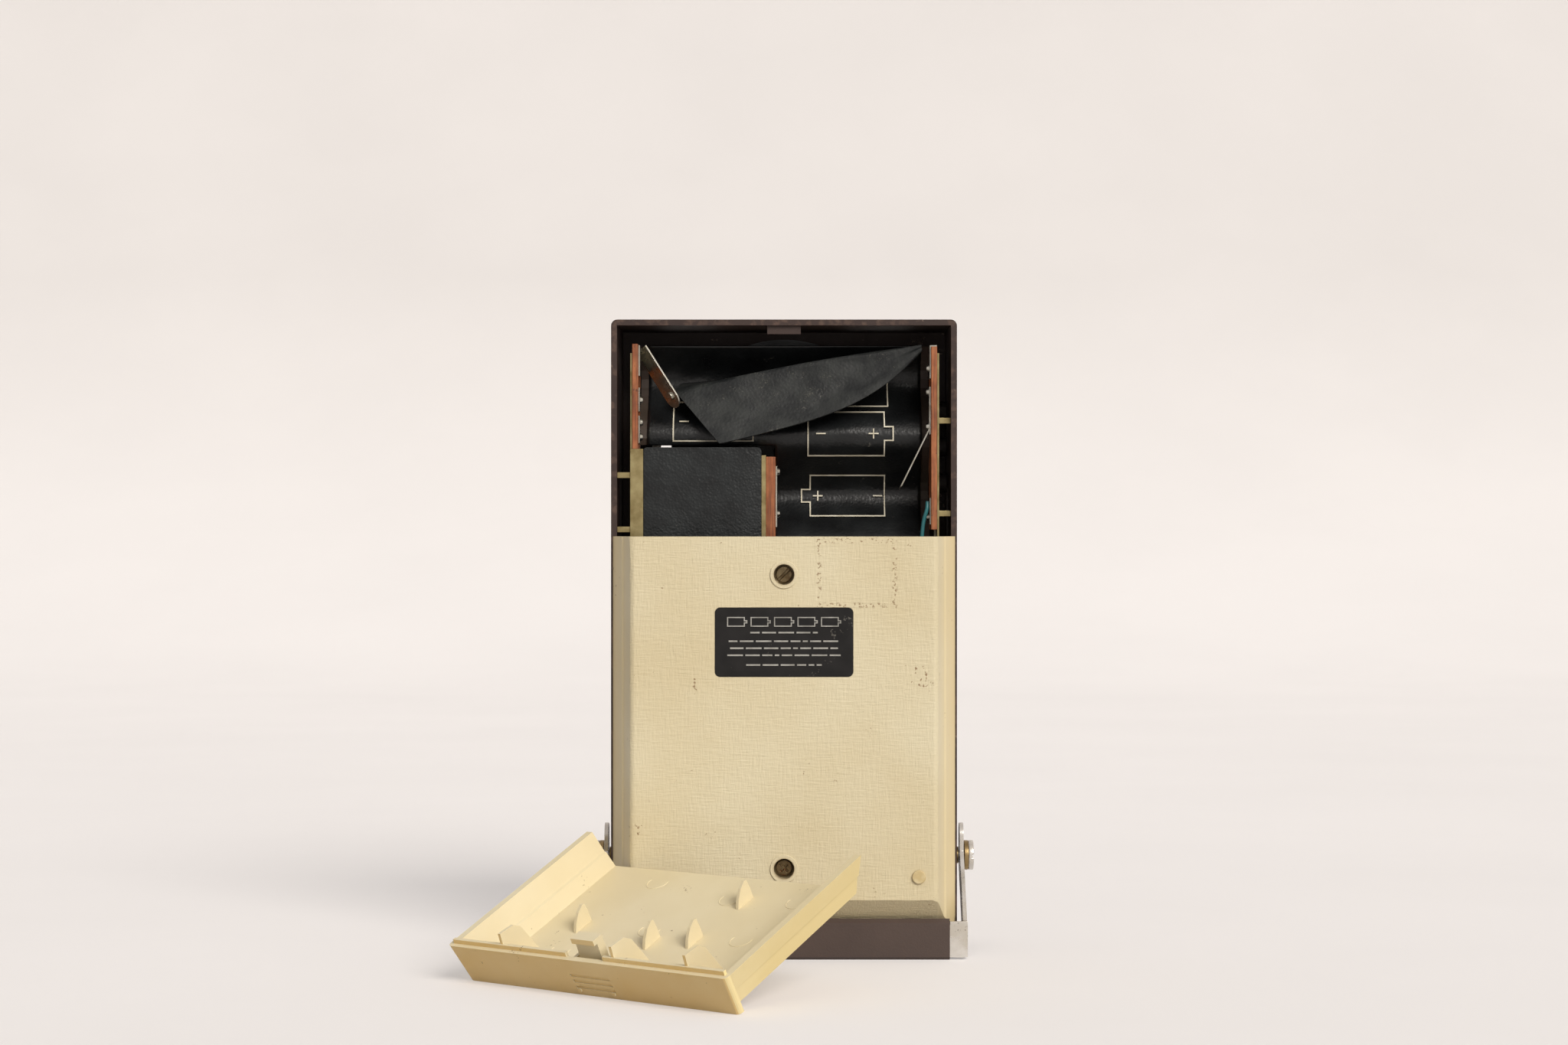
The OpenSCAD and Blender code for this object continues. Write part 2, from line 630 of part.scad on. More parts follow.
module level_meter() color("#2a2726") difference() {
    slab([meter_x - 10.8, meter_x + 10.8], [front_y - 8.6, front_y - 1.6], [slide_z - 5.6, slide_z + 5.6]);
    slab([meter_x - 9.8, meter_x + 9.8], [front_y - 6.4, front_y], [slide_z - 4.6, slide_z + 4.6]);
    translate([meter_x, 0, slide_z - 3.4]) rod_y(0.5 + pin_fit, front_y - 8, front_y - 6);
}

module meter_needle() color("#b5331f") translate([meter_x, 0, slide_z - 3.4]) {
    rod_y(0.5, front_y - 7.8, front_y - 4.4);
    rod_y(0.9, front_y - 5.4, front_y - 4.4);
    rotate([0, 30, 0]) slab([-0.25, 0.25], [front_y - 5.2, front_y - 4.6], [0, 7]);
}

module meter_window() color("#c8d2d4")
    slab([meter_x - 9.4, meter_x + 9.4], [front_y - 1.6, front_y - 0.6],
        [slide_z - meter_h / 2 + 0.1, slide_z + meter_h / 2 - 0.1]);

module microphone() color("#6f7072") translate([mic_x, 0, slide_z]) rod_y(4.6, front_y - 8, front_y - 1.6);

module jack_sockets() color("#3a3634") for (i = [0:2]) translate([0, jack_y, jack_z[i]]) difference() {
    union() {
        rod_x(3.6, in_x - 14, in_x);
        rod_x(2.9, in_x - 1, half - 0.2);
    }
    rod_x((i == 2 ? jack_small_d : jack_d) / 2, in_x - 12, half + 1);
}

module contact_boards() color("#a5582e") {
    slab([board_l - board_t, board_l], [board_y, board_in], [case_top - 0.6, bay_top]);
    slab([mid_l, mid_r], [case_y + 1, board_in], [cover_top - 7.5, case_top - 3.5]);
    slab([board_r, board_r + board_t], [board_y, board_in], [cover_top + 2.5, bay_top - 1]);
}

// Round rivet head on a board face at x, standing out along s
module rivet(x, z, s) translate([x, board_y + 6, z]) rotate([0, 90 * s, 0])
    cylinder(r1 = 1.6, r2 = 1, h = 1.1);

module contact_plates() color("#b9b8ae") {
    for (z = [[bay(0.577), bay(0.687)], [bay(0.43), bay(0.558)]])
        slab([board_l, board_l + 0.5], [board_y + 2, board_y + 10], z);
    for (share = [0.632, 0.528, 0.46]) rivet(board_l + 0.5, bay(share), 1);
    slab([mid_r, mid_r + 0.6], [board_y + 3, board_y + 9.5], [bay(0.043), bay(0.325)]);
    for (share = [0.3, 0.104]) rivet(mid_r + 0.6, bay(share), 1);
    slab([board_r - 0.5, board_r], [board_y + 2, board_y + 10], [bay(0.73), bay_top - 1]);
    slab([board_r - 0.5, board_r + board_t], [board_y + 2, board_y + 10], [bay_top - 1, bay_top - 0.4]);
    slab([board_r - 0.5, board_r], [board_y + 2, board_y + 10], [bay(0.055), bay(0.178)]);
    for (share = [0.779, 0.141, 0.086]) rivet(board_r - 0.5, bay(share), -1);
}

module contact_springs() color("#c6c5bd") {
    slab([board_l, board_l + 0.6], [board_y + 2, board_y + 10], [bay(0.742), bay_top - 0.4]);
    difference() {
        translate([board_l + 0.9, board_y + 6, bay_top - 1.6]) rotate([0, -32.3, 0]) rotate([0, 0, 34]) {
            translate([-0.3, -4, -22]) cube([0.6, 8, 22]);
            translate([-0.3, 0, -22]) rotate([0, 90, 0]) cylinder(r = 4, h = 0.6);
            translate([-1, 0, -21]) rotate([0, 90, 0]) cylinder(r = 1.7, h = 2);
        }
        slab([-half, board_l], [board_y - 5, board_in], [case_top, body_h]);
    }
    slab([board_r - 0.6, board_r], [board_y + 4, board_y + 9], [bay(0.472), bay(0.693)]);
    for (share = [0.509, 0.669]) rivet(board_r - 0.6, bay(share), -1);
    translate([board_r - 0.5, board_y + 6.5, bay(0.497)]) rotate([0, 26.3, 0]) {
        translate([-0.25, -2.5, -23]) cube([0.5, 5, 23]);
        translate([-0.25, 0, -23]) rotate([0, 90, 0]) cylinder(r = 2.5, h = 0.5);
    }
}

module bay_brackets() color("#8f8458") {
    low = post_z[1] + 3.5;
    out_l = board_l - board_t;
    slab([out_l - 0.8, case_l], [board_y, board_y + 0.8], [low, case_top - 0.6]);
    slab([out_l - 0.8, out_l], [board_y, deck_b], [low, case_top - 0.6]);
    slab([out_l - 0.8, out_l], [board_y + 1, board_in], [case_top - 0.6, bay_top - 3.4]);
    slab([case_l - 0.8, case_l], [board_y, deck_b], [low, case_top - 0.6]);
    for (z = [bay(0.018), bay(0.269)])
        slab([-in_x, out_l - 0.8], [board_y + 0.5, board_y + 3.5], [z, z + 2.2]);
    slab([case_r, mid_l], [case_y, deck_b], [low, case_top - 3]);
    out_r = board_r + board_t;
    slab([out_r, out_r + 0.8], [board_y + 1, deck_b], [low, bay_top - 3.4]);
    for (z = [bay(0.092), bay(0.521)])
        slab([out_r + 0.8, in_x], [board_y + 1.5, board_y + 4.5], [z, z + 2.2]);
}

module bay_floor() color("#5a4a40") {
    prism_x(mid_r, board_r) floor_strip(cover_top - 7.5, bay_top, 0, floor_t);
    prism_x(board_l, mid_r) floor_strip(case_top + 1.2, bay_top, 0, floor_t);
}

module battery_liner() color("#2b2d2e") {
    prism_x(mid_r, board_r - 3) floor_strip(cover_top - 7.5, bay_top, -liner_t, 0);
    prism_x(board_l + 3, mid_r) floor_strip(case_top + 1.2, bay_top, -liner_t, 0);
}

// Lines of the loose flap across the bay, s from 0 at its left end to 1 at its tip
function flap_root(s) = let (z = row_z - 1 + 7 * s) [-40 + 91 * s, floor_y(z) - liner_t - 0.9, z];
function flap_fold(s) = [-42 + 94.5 * s, rim_y + 14.6 - 6.6 * s,
    bay(0.675 + 0.2135 * s + 0.02 * sin(180 * s))];
function flap_edge(s) = [-24.5 + 77 * s + 2 * sin(180 * s), rim_y + 3.6 + 3.4 * s * s,
    bay(0.422 + 0.2454 * s + 0.2012 * pow(s, 4))];

// Loose end of the liner: root on the bay floor, fold line and free edge
module liner_flap() color("#34363a") {
    n = 8;
    ring = 6;
    points = [for (i = [0:n]) let (s = i / n) each [flap_root(s), flap_fold(s), flap_edge(s),
        flap_edge(s) + [0, flap_t, 0.3], flap_fold(s) + [0, flap_t, -flap_t],
            flap_root(s) + [0, -0.4, -flap_t]]];
    sides = [for (i = [0:n - 1], k = [0:ring - 1]) let (a = i * ring + k, b = i * ring + (k + 1) % ring)
        each [[a, b, b + ring], [a, b + ring, a + ring]]];
    first = [[0, 4, 1], [0, 5, 4], [1, 4, 3], [1, 3, 2]];
    last = [for (f = first) [f[0] + n * ring, f[2] + n * ring, f[1] + n * ring]];
    polyhedron(points, concat(sides, first, last));
}

// Direction of a route at its point i
function heading(p, i) = let (d = p[min(i + 1, len(p) - 1)] - p[max(i - 1, 0)]) d / norm(d);

// Round tube through the points of a route that runs mostly up and down
module tube(p, d, sides) {
    rings = [for (i = [0:len(p) - 1])
        let (h = heading(p, i), u0 = cross(h, [0, 1, 0]), u = u0 / norm(u0), v = cross(h, u))
        each [for (k = [0:sides - 1]) p[i] + d / 2 * (cos(360 * k / sides) * u + sin(360 * k / sides) * v)]];
    last = len(rings) - sides;
    walls = [for (i = [0:len(p) - 2], k = [0:sides - 1])
        let (a = i * sides + k, b = i * sides + (k + 1) % sides)
        each [[a, b + sides, b], [a, a + sides, b + sides]]];
    caps = [for (k = [1:sides - 2]) each [[0, k, k + 1], [last, last + k + 1, last + k]]];
    polyhedron(rings, concat(walls, caps));
}

module battery_lead() color("#2f7f80") {
    y = pcb_y - wire_d / 2 - 0.1;
    tube([[board_r - 1.3, board_y + 3, bay(0.16)], [board_r - 1.5, board_y + 2.2, bay(0.129)],
        [board_r - 2.7, y, bay(0.075)], [board_r - 3.6, y, cover_top - 1.5],
            [board_r - 5, y, cover_top - 13.5],
        [48, y, board_high + 4], [46, y, board_high - 6]], wire_d, 8);
}

// Bar of the handle in outline, in Y and Z
module grip_outline() polygon([[bar_y, 1], [bar_y, 13.6], [bar_y + 1.6, 15.2], [bar_y + 3.4, 13.4],
    [bar_y + 11, 10.9], [bar_y + 11, 1], [bar_y + 10, 0], [bar_y + 1, 0]]);

module handle_frame() color("#b9bcbf") {
    slab([-arm_out, arm_out], [plate_y, plate_y + handle_t], [1, 12.8]);
    both_sides() {
        difference() {
            slab([grip_w / 2 + 0.1, arm_out], [plate_y, plate_y + handle_t], [0.8, 14.2]);
            slab([arm_out - 1.2, arm_out + 1], [plate_y - 1, plate_y + 3], [0, 2]);
        }
        difference() {
            prism_x(arm_x, arm_out) {
                w = arm_w / 2;
                polygon([[plate_y, 2], [plate_y + 1.2, 0.8], [plate_y + 6, 0.8],
                    [pivot_y + w, pivot_z - w + 3],
                    [pivot_y + w, pivot_z + arm_tail - w], [pivot_y - w, pivot_z + arm_tail - w],
                    [pivot_y - w, pivot_z + 2], [plate_y + 4, 14.2], [plate_y, 14.2]]);
                translate([pivot_y, pivot_z + arm_tail - w]) circle(w);
            }
            translate([0, pivot_y, pivot_z]) rod_x(pivot_d / 2 + pin_fit, arm_x - 1, arm_out + 1);
        }
    }
}

module handle_grip() color("#5a473e") difference() {
    prism_x(-grip_w / 2, grip_w / 2) grip_outline();
    slab([-grip_w, grip_w], [plate_y - push_fit, plate_y + handle_t + push_fit],
        [1 - push_fit, 12.8 + push_fit]);
    prism_x(-grip_w / 2 + 4, grip_w / 2 - 4)
        polygon([[plate_y + 5, 2.4], [plate_y + 5, 9.6], [bar_y + 12, 8.4], [bar_y + 12, 2.4]]);
}

module handle_screws() color("#c9ccce") both_sides() translate([0, pivot_y, pivot_z]) difference() {
    union() {
        rod_x(pivot_d / 2, in_x - 5, arm_out + 2.2);
        rod_x(pivot_head / 2, arm_out + move_gap + 1.6, arm_out + move_gap + 3.6);
    }
    slab([arm_out + move_gap + 2.8, arm_out + move_gap + 5], [-8, 8], [-0.6, 0.6]);
}

module handle_washers() color("#b59a63") both_sides() translate([0, pivot_y, pivot_z]) difference() {
    union() {
        rod_x(3.2, half, arm_x - move_gap);
        rod_x(pivot_head / 2, arm_out + move_gap, arm_out + move_gap + 1.6);
    }
    rod_x(pivot_d / 2 + push_fit, half - 1, arm_out + 5);
}

// Place of the loose door: turned about the foot of its end wall, which stands on the ground
module door_place() {
    foot = [0, back_y, door_high - end_slope];
    rotate_rest = [90 + door_tilt, 0, -door_turn];
    reach = door_len * cos(door_tilt);
    place = [door_side - reach * sin(door_turn), back_y - door_gap - reach * cos(door_turn), 0];
    translate(place) rotate(rotate_rest) translate(-foot) children();
}

module battery_door() color("#e6d7b3") door_place() {
    t = cover_wall;
    end_line = [[rim_y, door_high], [back_y, door_high - end_slope], [back_y, door_low], [rim_y, door_low]];
    end_inner = [[rim_y + 1, door_high - t], [back_y + t, door_high - end_slope - 0.6 * t],
        [back_y + t, door_low - 1],
        [rim_y + 1, door_low - 1]];
    floor = back_y + t - 0.2;
    fin_line = [[0, 5.4], [3.4, 3.6], [6.2, 1], [7.8, -1.8], [7.6, -3], [4, -3.6], [0, -3.8]];
    difference() {
        union() {
            difference() {
                intersection() {
                    linear_extrude(door_high) side_outline(0);
                    prism_x(-half, half) polygon(end_line);
                }
                intersection() {
                    linear_extrude(door_high) side_outline(t);
                    prism_x(-half, half) polygon(end_inner);
                }
                slab([-half, half], [rim_y, rim_y + t + 1], [0, door_high + 1]);
            }
            intersection() {
                translate([0, 0, door_high - 9]) linear_extrude(9)
                    polygon([[lip_x, rim_y], [lip_x - 1.8, back_y], [1.8 - lip_x, back_y],
                        [-lip_x, rim_y]]);
                prism_x(-half, half) polygon([[rim_y, door_high], [back_y, door_high - end_slope],
                    [back_y, door_high - end_slope - 2.4], [rim_y, door_high - 2.4]]);
            }
            for (x = [-39, 13, 46]) prism_x(x - 0.6, x + 0.6)
                polygon([[floor, tongue_z - 18], [floor, door_high - 4], [rim_y, tongue_z - 0.5],
                    [rim_y + 5.6, tongue_z - 0.9], [rim_y + 5, tongue_z - 8], [rim_y + 2.6, tongue_z - 11]]);
            both_sides() slab([8.5, in_x - 0.3], [rim_y - 3, rim_y + 1.6], [tongue_z - 1.3, tongue_z]);
            for (p = [[-38.2, 0.491], [-1.1, 0.556], [16, 0.514], [18.7, 0.187]])
                prism_x(p[0] - 0.6, p[0] + 0.6) translate([floor, bay(p[1])]) polygon(fin_line);
            for (x = [-8.6, 7.2]) slab([x, x + 1.4], [floor, rim_y - 2], [door_high - 10, door_high - 2]);
            slab([-5.2, 5.2], [floor, rim_y + 5.4], [body_h - 9, body_h - 5.6]);
            slab([-5.2, 5.2], [rim_y + 4.6, rim_y + 6.6], [body_h - 9, body_h - 4]);
        }
        for (i = [0:2]) slab([-9, 9], [back_y + 3 + 2.6 * i, back_y + 4.3 + 2.6 * i],
            [door_high - end_slope * (1 - (3.6 + 2.6 * i) / cover_depth) - 0.5, door_high + 1]);
        for (x = [-foot_x, foot_x]) translate([x, 0, door_foot_z])
            rod_y(1.2 + push_fit, back_y - 1, back_y + t + 1);
    }
}

module door_feet() color("#cdbf9d") door_place() foot(door_foot_z);

front_housing();
rear_cover();
case_screws();
cover_feet();
label_plate();
speaker_grille();
speaker_frame();
speaker_cone();
control_strip();
cassette_well();
chassis_plate();
chassis_pillars();
circuit_board();
board_parts();
motor_case();
drive_motor();
motor_pulley();
drive_belt();
flywheel();
capstan_shaft();
capstan_bearing();
supply_spindle();
takeup_spindle();
head_plate();
tape_heads();
pinch_arm();
pinch_roller();
key_shaft();
key_springs();
key_record();
key_rewind();
key_play();
key_forward();
key_stop();
key_pause();
cassette_lid();
lid_window();
lid_pin();
volume_slider();
tone_slider();
level_meter();
meter_needle();
meter_window();
microphone();
jack_sockets();
contact_boards();
contact_plates();
contact_springs();
bay_brackets();
bay_floor();
battery_liner();
liner_flap();
battery_lead();
handle_frame();
handle_grip();
handle_screws();
handle_washers();
battery_door();
door_feet();
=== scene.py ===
"""Looks of the cassette recorder: finishes, liner, prints, small marks, light and camera."""
import logging
import math
from dataclasses import dataclass
from enum import Enum
from typing import Any, Callable, Optional, Sequence

import bpy
from mathutils import Matrix, Vector, noise


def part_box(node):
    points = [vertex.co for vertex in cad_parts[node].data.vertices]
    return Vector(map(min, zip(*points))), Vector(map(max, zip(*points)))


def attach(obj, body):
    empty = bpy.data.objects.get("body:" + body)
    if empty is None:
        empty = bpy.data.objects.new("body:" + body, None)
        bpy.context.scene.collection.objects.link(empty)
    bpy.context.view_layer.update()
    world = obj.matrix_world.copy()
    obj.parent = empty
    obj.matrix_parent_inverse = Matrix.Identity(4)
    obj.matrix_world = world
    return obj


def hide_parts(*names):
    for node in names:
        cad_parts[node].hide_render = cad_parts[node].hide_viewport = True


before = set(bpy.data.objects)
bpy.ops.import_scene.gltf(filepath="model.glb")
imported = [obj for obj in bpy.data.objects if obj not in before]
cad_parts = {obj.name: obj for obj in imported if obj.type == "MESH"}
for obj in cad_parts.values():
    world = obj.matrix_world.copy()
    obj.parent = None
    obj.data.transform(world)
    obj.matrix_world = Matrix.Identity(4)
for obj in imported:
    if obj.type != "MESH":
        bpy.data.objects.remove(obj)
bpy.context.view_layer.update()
LOG = logging.getLogger("recorder")
MM = 0.001
X, Y, Z = 0, 1, 2
BODY = "recorder"
# Points and faces nearer than this belong together, in metres.
NEAR = 0.05 * MM
# A solid's triangles are merged where their corners meet and their faces lie flat.
WELD = 0.002 * MM
FLAT = math.radians(0.4)
# Edges sharper than this are broken: on a solid, whose curves are coarse, and on a merged copy of one.
SOLID_EDGE = math.radians(28)
COPY_EDGE = math.radians(15)
# Thickness of print, thicker than real ink so that it stays clear of the face below.
INK = 0.05 * MM
# Turn that sets a flat primitive upright, looking along -Y.
UPRIGHT = (math.pi / 2, 0, 0)
MADE: dict[str, bpy.types.Material] = {}

Thing = bpy.types.Object
Tree = bpy.types.NodeTree
Socket = bpy.types.NodeSocket
Pair = tuple[float, float]
Spot = tuple[float, float, float]


class Relief(Enum):
    """Fine relief that a surface got when it was made."""

    SPARKED = "moulded in a spark-eroded tool"
    LINEN = "moulded in a tool with a woven pattern"
    LEATHER = "embossed with a pebbled grain"
    BRUSHED = "brushed along its length"
    FELTED = "felted fibre"
    POLISHED = "polished"


class Symbol(Enum):
    """Mark on a key."""

    DOT = "record"
    BACK = "rewind"
    RUN = "play"
    AHEAD = "forward"
    BLOCK = "stop"
    BARS = "pause"


def linear(code: str) -> tuple[float, float, float, float]:
    """Turn an sRGB hex colour into linear light.

    Args:
        code: colour such as "#e3d3ae".

    Returns:
        Red, green, blue and alpha for a shader socket.
    """
    parts = [int(code[i:i + 2], 16) / 255 for i in (1, 3, 5)]
    light = [c / 12.92 if c <= 0.04045 else ((c + 0.055) / 1.055) ** 2.4 for c in parts]
    return (light[0], light[1], light[2], 1.0)


def across(node: str, axis: int, share: float) -> float:
    """Measure along a solid's box.

    Args:
        node: name of the solid.
        axis: X, Y or Z.
        share: 0 at the box's low face, 1 at its high face.

    Returns:
        The coordinate there, in millimetres.
    """
    low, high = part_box(node)
    return (low[axis] + share * (high[axis] - low[axis])) / MM


def per(size_mm: float) -> float:
    """Scale of a pattern whose grain has this size in millimetres."""
    return 1 / (size_mm * MM)


def add(tree: Tree, kind: str, inputs: Optional[dict] = None, **settings: Any) -> bpy.types.Node:
    """Add a shader node with its settings and links.

    Args:
        tree: node tree of the material.
        kind: type of the node.
        inputs: socket name or number, with a value or the output that feeds it.
        **settings: properties of the node.

    Returns:
        The new node.
    """
    node = tree.nodes.new(kind)
    for name, value in settings.items():
        setattr(node, name, value)
    for key, value in (inputs or {}).items():
        if isinstance(value, Socket):
            tree.links.new(value, node.inputs[key])
        else:
            node.inputs[key].default_value = value
    return node


@dataclass(frozen=True)
class Finish:
    """One surface: what it is made of, how it was made and what has happened to it since."""

    name: str
    colour: str
    shade: str
    relief: Relief = Relief.SPARKED
    grain_mm: float = 0.9
    depth_mm: float = 0.03
    patch_mm: float = 30.0
    roughness: float = 0.5
    spread: float = 0.08
    metallic: float = 0.0
    ior: float = 1.5
    dirt: str = "#4a3a28"
    dirt_share: float = 0.0
    dirt_mm: float = 1.6
    clear: float = 0.0
    along: Spot = (0.03, 1.0, 1.0)
    tone: str = "#000000"
    tone_share: float = 0.0
    # Levels of the noise between which tint, gloss and depth of tone change over.
    tint_turn: Pair = (0.36, 0.64)
    gloss_turn: Pair = (0.3, 0.7)
    tone_turn: Pair = (0.4, 0.65)
    # Dirt: level where it starts, how far a full share lowers that, its edge, its cover and its patches.
    dirt_level: float = 0.46
    dirt_reach: float = 0.3
    dirt_edge: float = 0.07
    dirt_cover: float = 0.85
    dirt_patch: float = 9.0
    # Stretch of the two sets of threads, and width of a crease in grains.
    threads: tuple[Spot, Spot] = ((1.0, 1.0, 0.15), (0.15, 1.0, 1.0))
    crease_grains: float = 3.0

    def make(self) -> bpy.types.Material:
        """Build the material, or return the one already built.

        Returns:
            The node material of this finish.
        """
        if self.name in MADE:
            return MADE[self.name]
        material = MADE[self.name] = bpy.data.materials.new(self.name)
        material.use_nodes = True
        tree = material.node_tree
        shader = tree.nodes["Principled BSDF"]
        place = add(tree, "ShaderNodeTexCoord").outputs["Object"]
        clouds = {"Vector": place, "Scale": per(self.patch_mm), "Detail": 5.0}
        patches = add(tree, "ShaderNodeTexNoise", clouds)
        start, end = self.tint_turn
        spread = add(tree, "ShaderNodeMapRange", {0: patches.outputs[0], 1: start, 2: end})
        tints = {0: spread.outputs[0], 6: linear(self.colour), 7: linear(self.shade)}
        body = add(tree, "ShaderNodeMix", tints, data_type="RGBA")
        relief = self.height(tree, place)
        start, end = self.tone_turn
        deep = add(tree, "ShaderNodeMapRange", {0: relief, 1: start, 2: end, 4: self.tone_share})
        tints = {0: deep.outputs[0], 6: body.outputs[2], 7: linear(self.tone)}
        toned = add(tree, "ShaderNodeMix", tints, data_type="RGBA")
        colour = self.soil(tree, place, toned.outputs[2])
        tree.links.new(colour, shader.inputs["Base Color"])
        start, end = self.gloss_turn
        dull, bright = self.roughness + self.spread, self.roughness - self.spread
        gloss = {0: patches.outputs[0], 1: start, 2: end, 3: bright, 4: dull}
        rough = add(tree, "ShaderNodeMapRange", gloss)
        tree.links.new(rough.outputs[0], shader.inputs["Roughness"])
        shader.inputs["Metallic"].default_value = self.metallic
        shader.inputs["IOR"].default_value = self.ior
        shader.inputs["Transmission Weight"].default_value = self.clear
        rise = {"Height": relief, "Distance": self.depth_mm * MM, "Strength": 1.0}
        bump = add(tree, "ShaderNodeBump", rise)
        tree.links.new(bump.outputs[0], shader.inputs["Normal"])
        return material

    def soil(self, tree: Tree, place: Socket, colour: Socket) -> Socket:
        """Lay specks of dirt or rust over the colour.

        Args:
            tree: node tree of the material.
            place: Object coordinates.
            colour: colour of the clean surface.

        Returns:
            The soiled colour.
        """
        if self.dirt_share <= 0:
            return colour
        fine, wide = per(self.dirt_mm), per(self.dirt_patch * self.dirt_mm)
        specks = add(tree, "ShaderNodeTexNoise", {"Vector": place, "Scale": fine, "Detail": 3.0}).outputs[0]
        clouds = add(tree, "ShaderNodeTexNoise", {"Vector": place, "Scale": wide, "Detail": 2.0}).outputs[0]
        both = add(tree, "ShaderNodeMath", {0: specks, 1: clouds}, operation="MULTIPLY")
        start = self.dirt_level - self.dirt_reach * self.dirt_share
        spots = {0: both.outputs[0], 1: start, 2: start + self.dirt_edge, 4: self.dirt_cover}
        mask = add(tree, "ShaderNodeMapRange", spots)
        tints = {0: mask.outputs[0], 6: colour, 7: linear(self.dirt)}
        return add(tree, "ShaderNodeMix", tints, data_type="RGBA").outputs[2]

    def height(self, tree: Tree, place: Socket) -> Socket:
        """Draw the relief of the surface.

        Args:
            tree: node tree of the material.
            place: Object coordinates.

        Returns:
            Height from 0 to about 1.
        """
        size = per(self.grain_mm)
        if self.relief is Relief.LEATHER:
            grain = {"Vector": place, "Scale": size}
            pebbles = add(tree, "ShaderNodeTexVoronoi", grain, feature="SMOOTH_F1").outputs[0]
            folds = {"Vector": place, "Scale": size / self.crease_grains, "Detail": 4.0}
            creases = add(tree, "ShaderNodeTexNoise", folds).outputs[0]
            return add(tree, "ShaderNodeMath", {0: pebbles, 1: creases}, operation="ADD").outputs[0]
        if self.relief is Relief.LINEN:
            threads = []
            for way in self.threads:
                along = add(tree, "ShaderNodeMapping", {"Vector": place, "Scale": way}).outputs[0]
                thread = {"Vector": along, "Scale": size, "Detail": 2.0}
                threads.append(add(tree, "ShaderNodeTexNoise", thread).outputs[0])
            return add(tree, "ShaderNodeMath", {0: threads[0], 1: threads[1]}, operation="ADD").outputs[0]
        if self.relief is Relief.BRUSHED:
            along = add(tree, "ShaderNodeMapping", {"Vector": place, "Scale": self.along}).outputs[0]
            lines = {"Vector": along, "Scale": size, "Detail": 3.0}
            return add(tree, "ShaderNodeTexNoise", lines).outputs[0]
        detail = {Relief.FELTED: 8.0, Relief.SPARKED: 3.0}.get(self.relief, 1.0)
        grain = {"Vector": place, "Scale": size, "Detail": detail}
        return add(tree, "ShaderNodeTexNoise", grain).outputs[0]


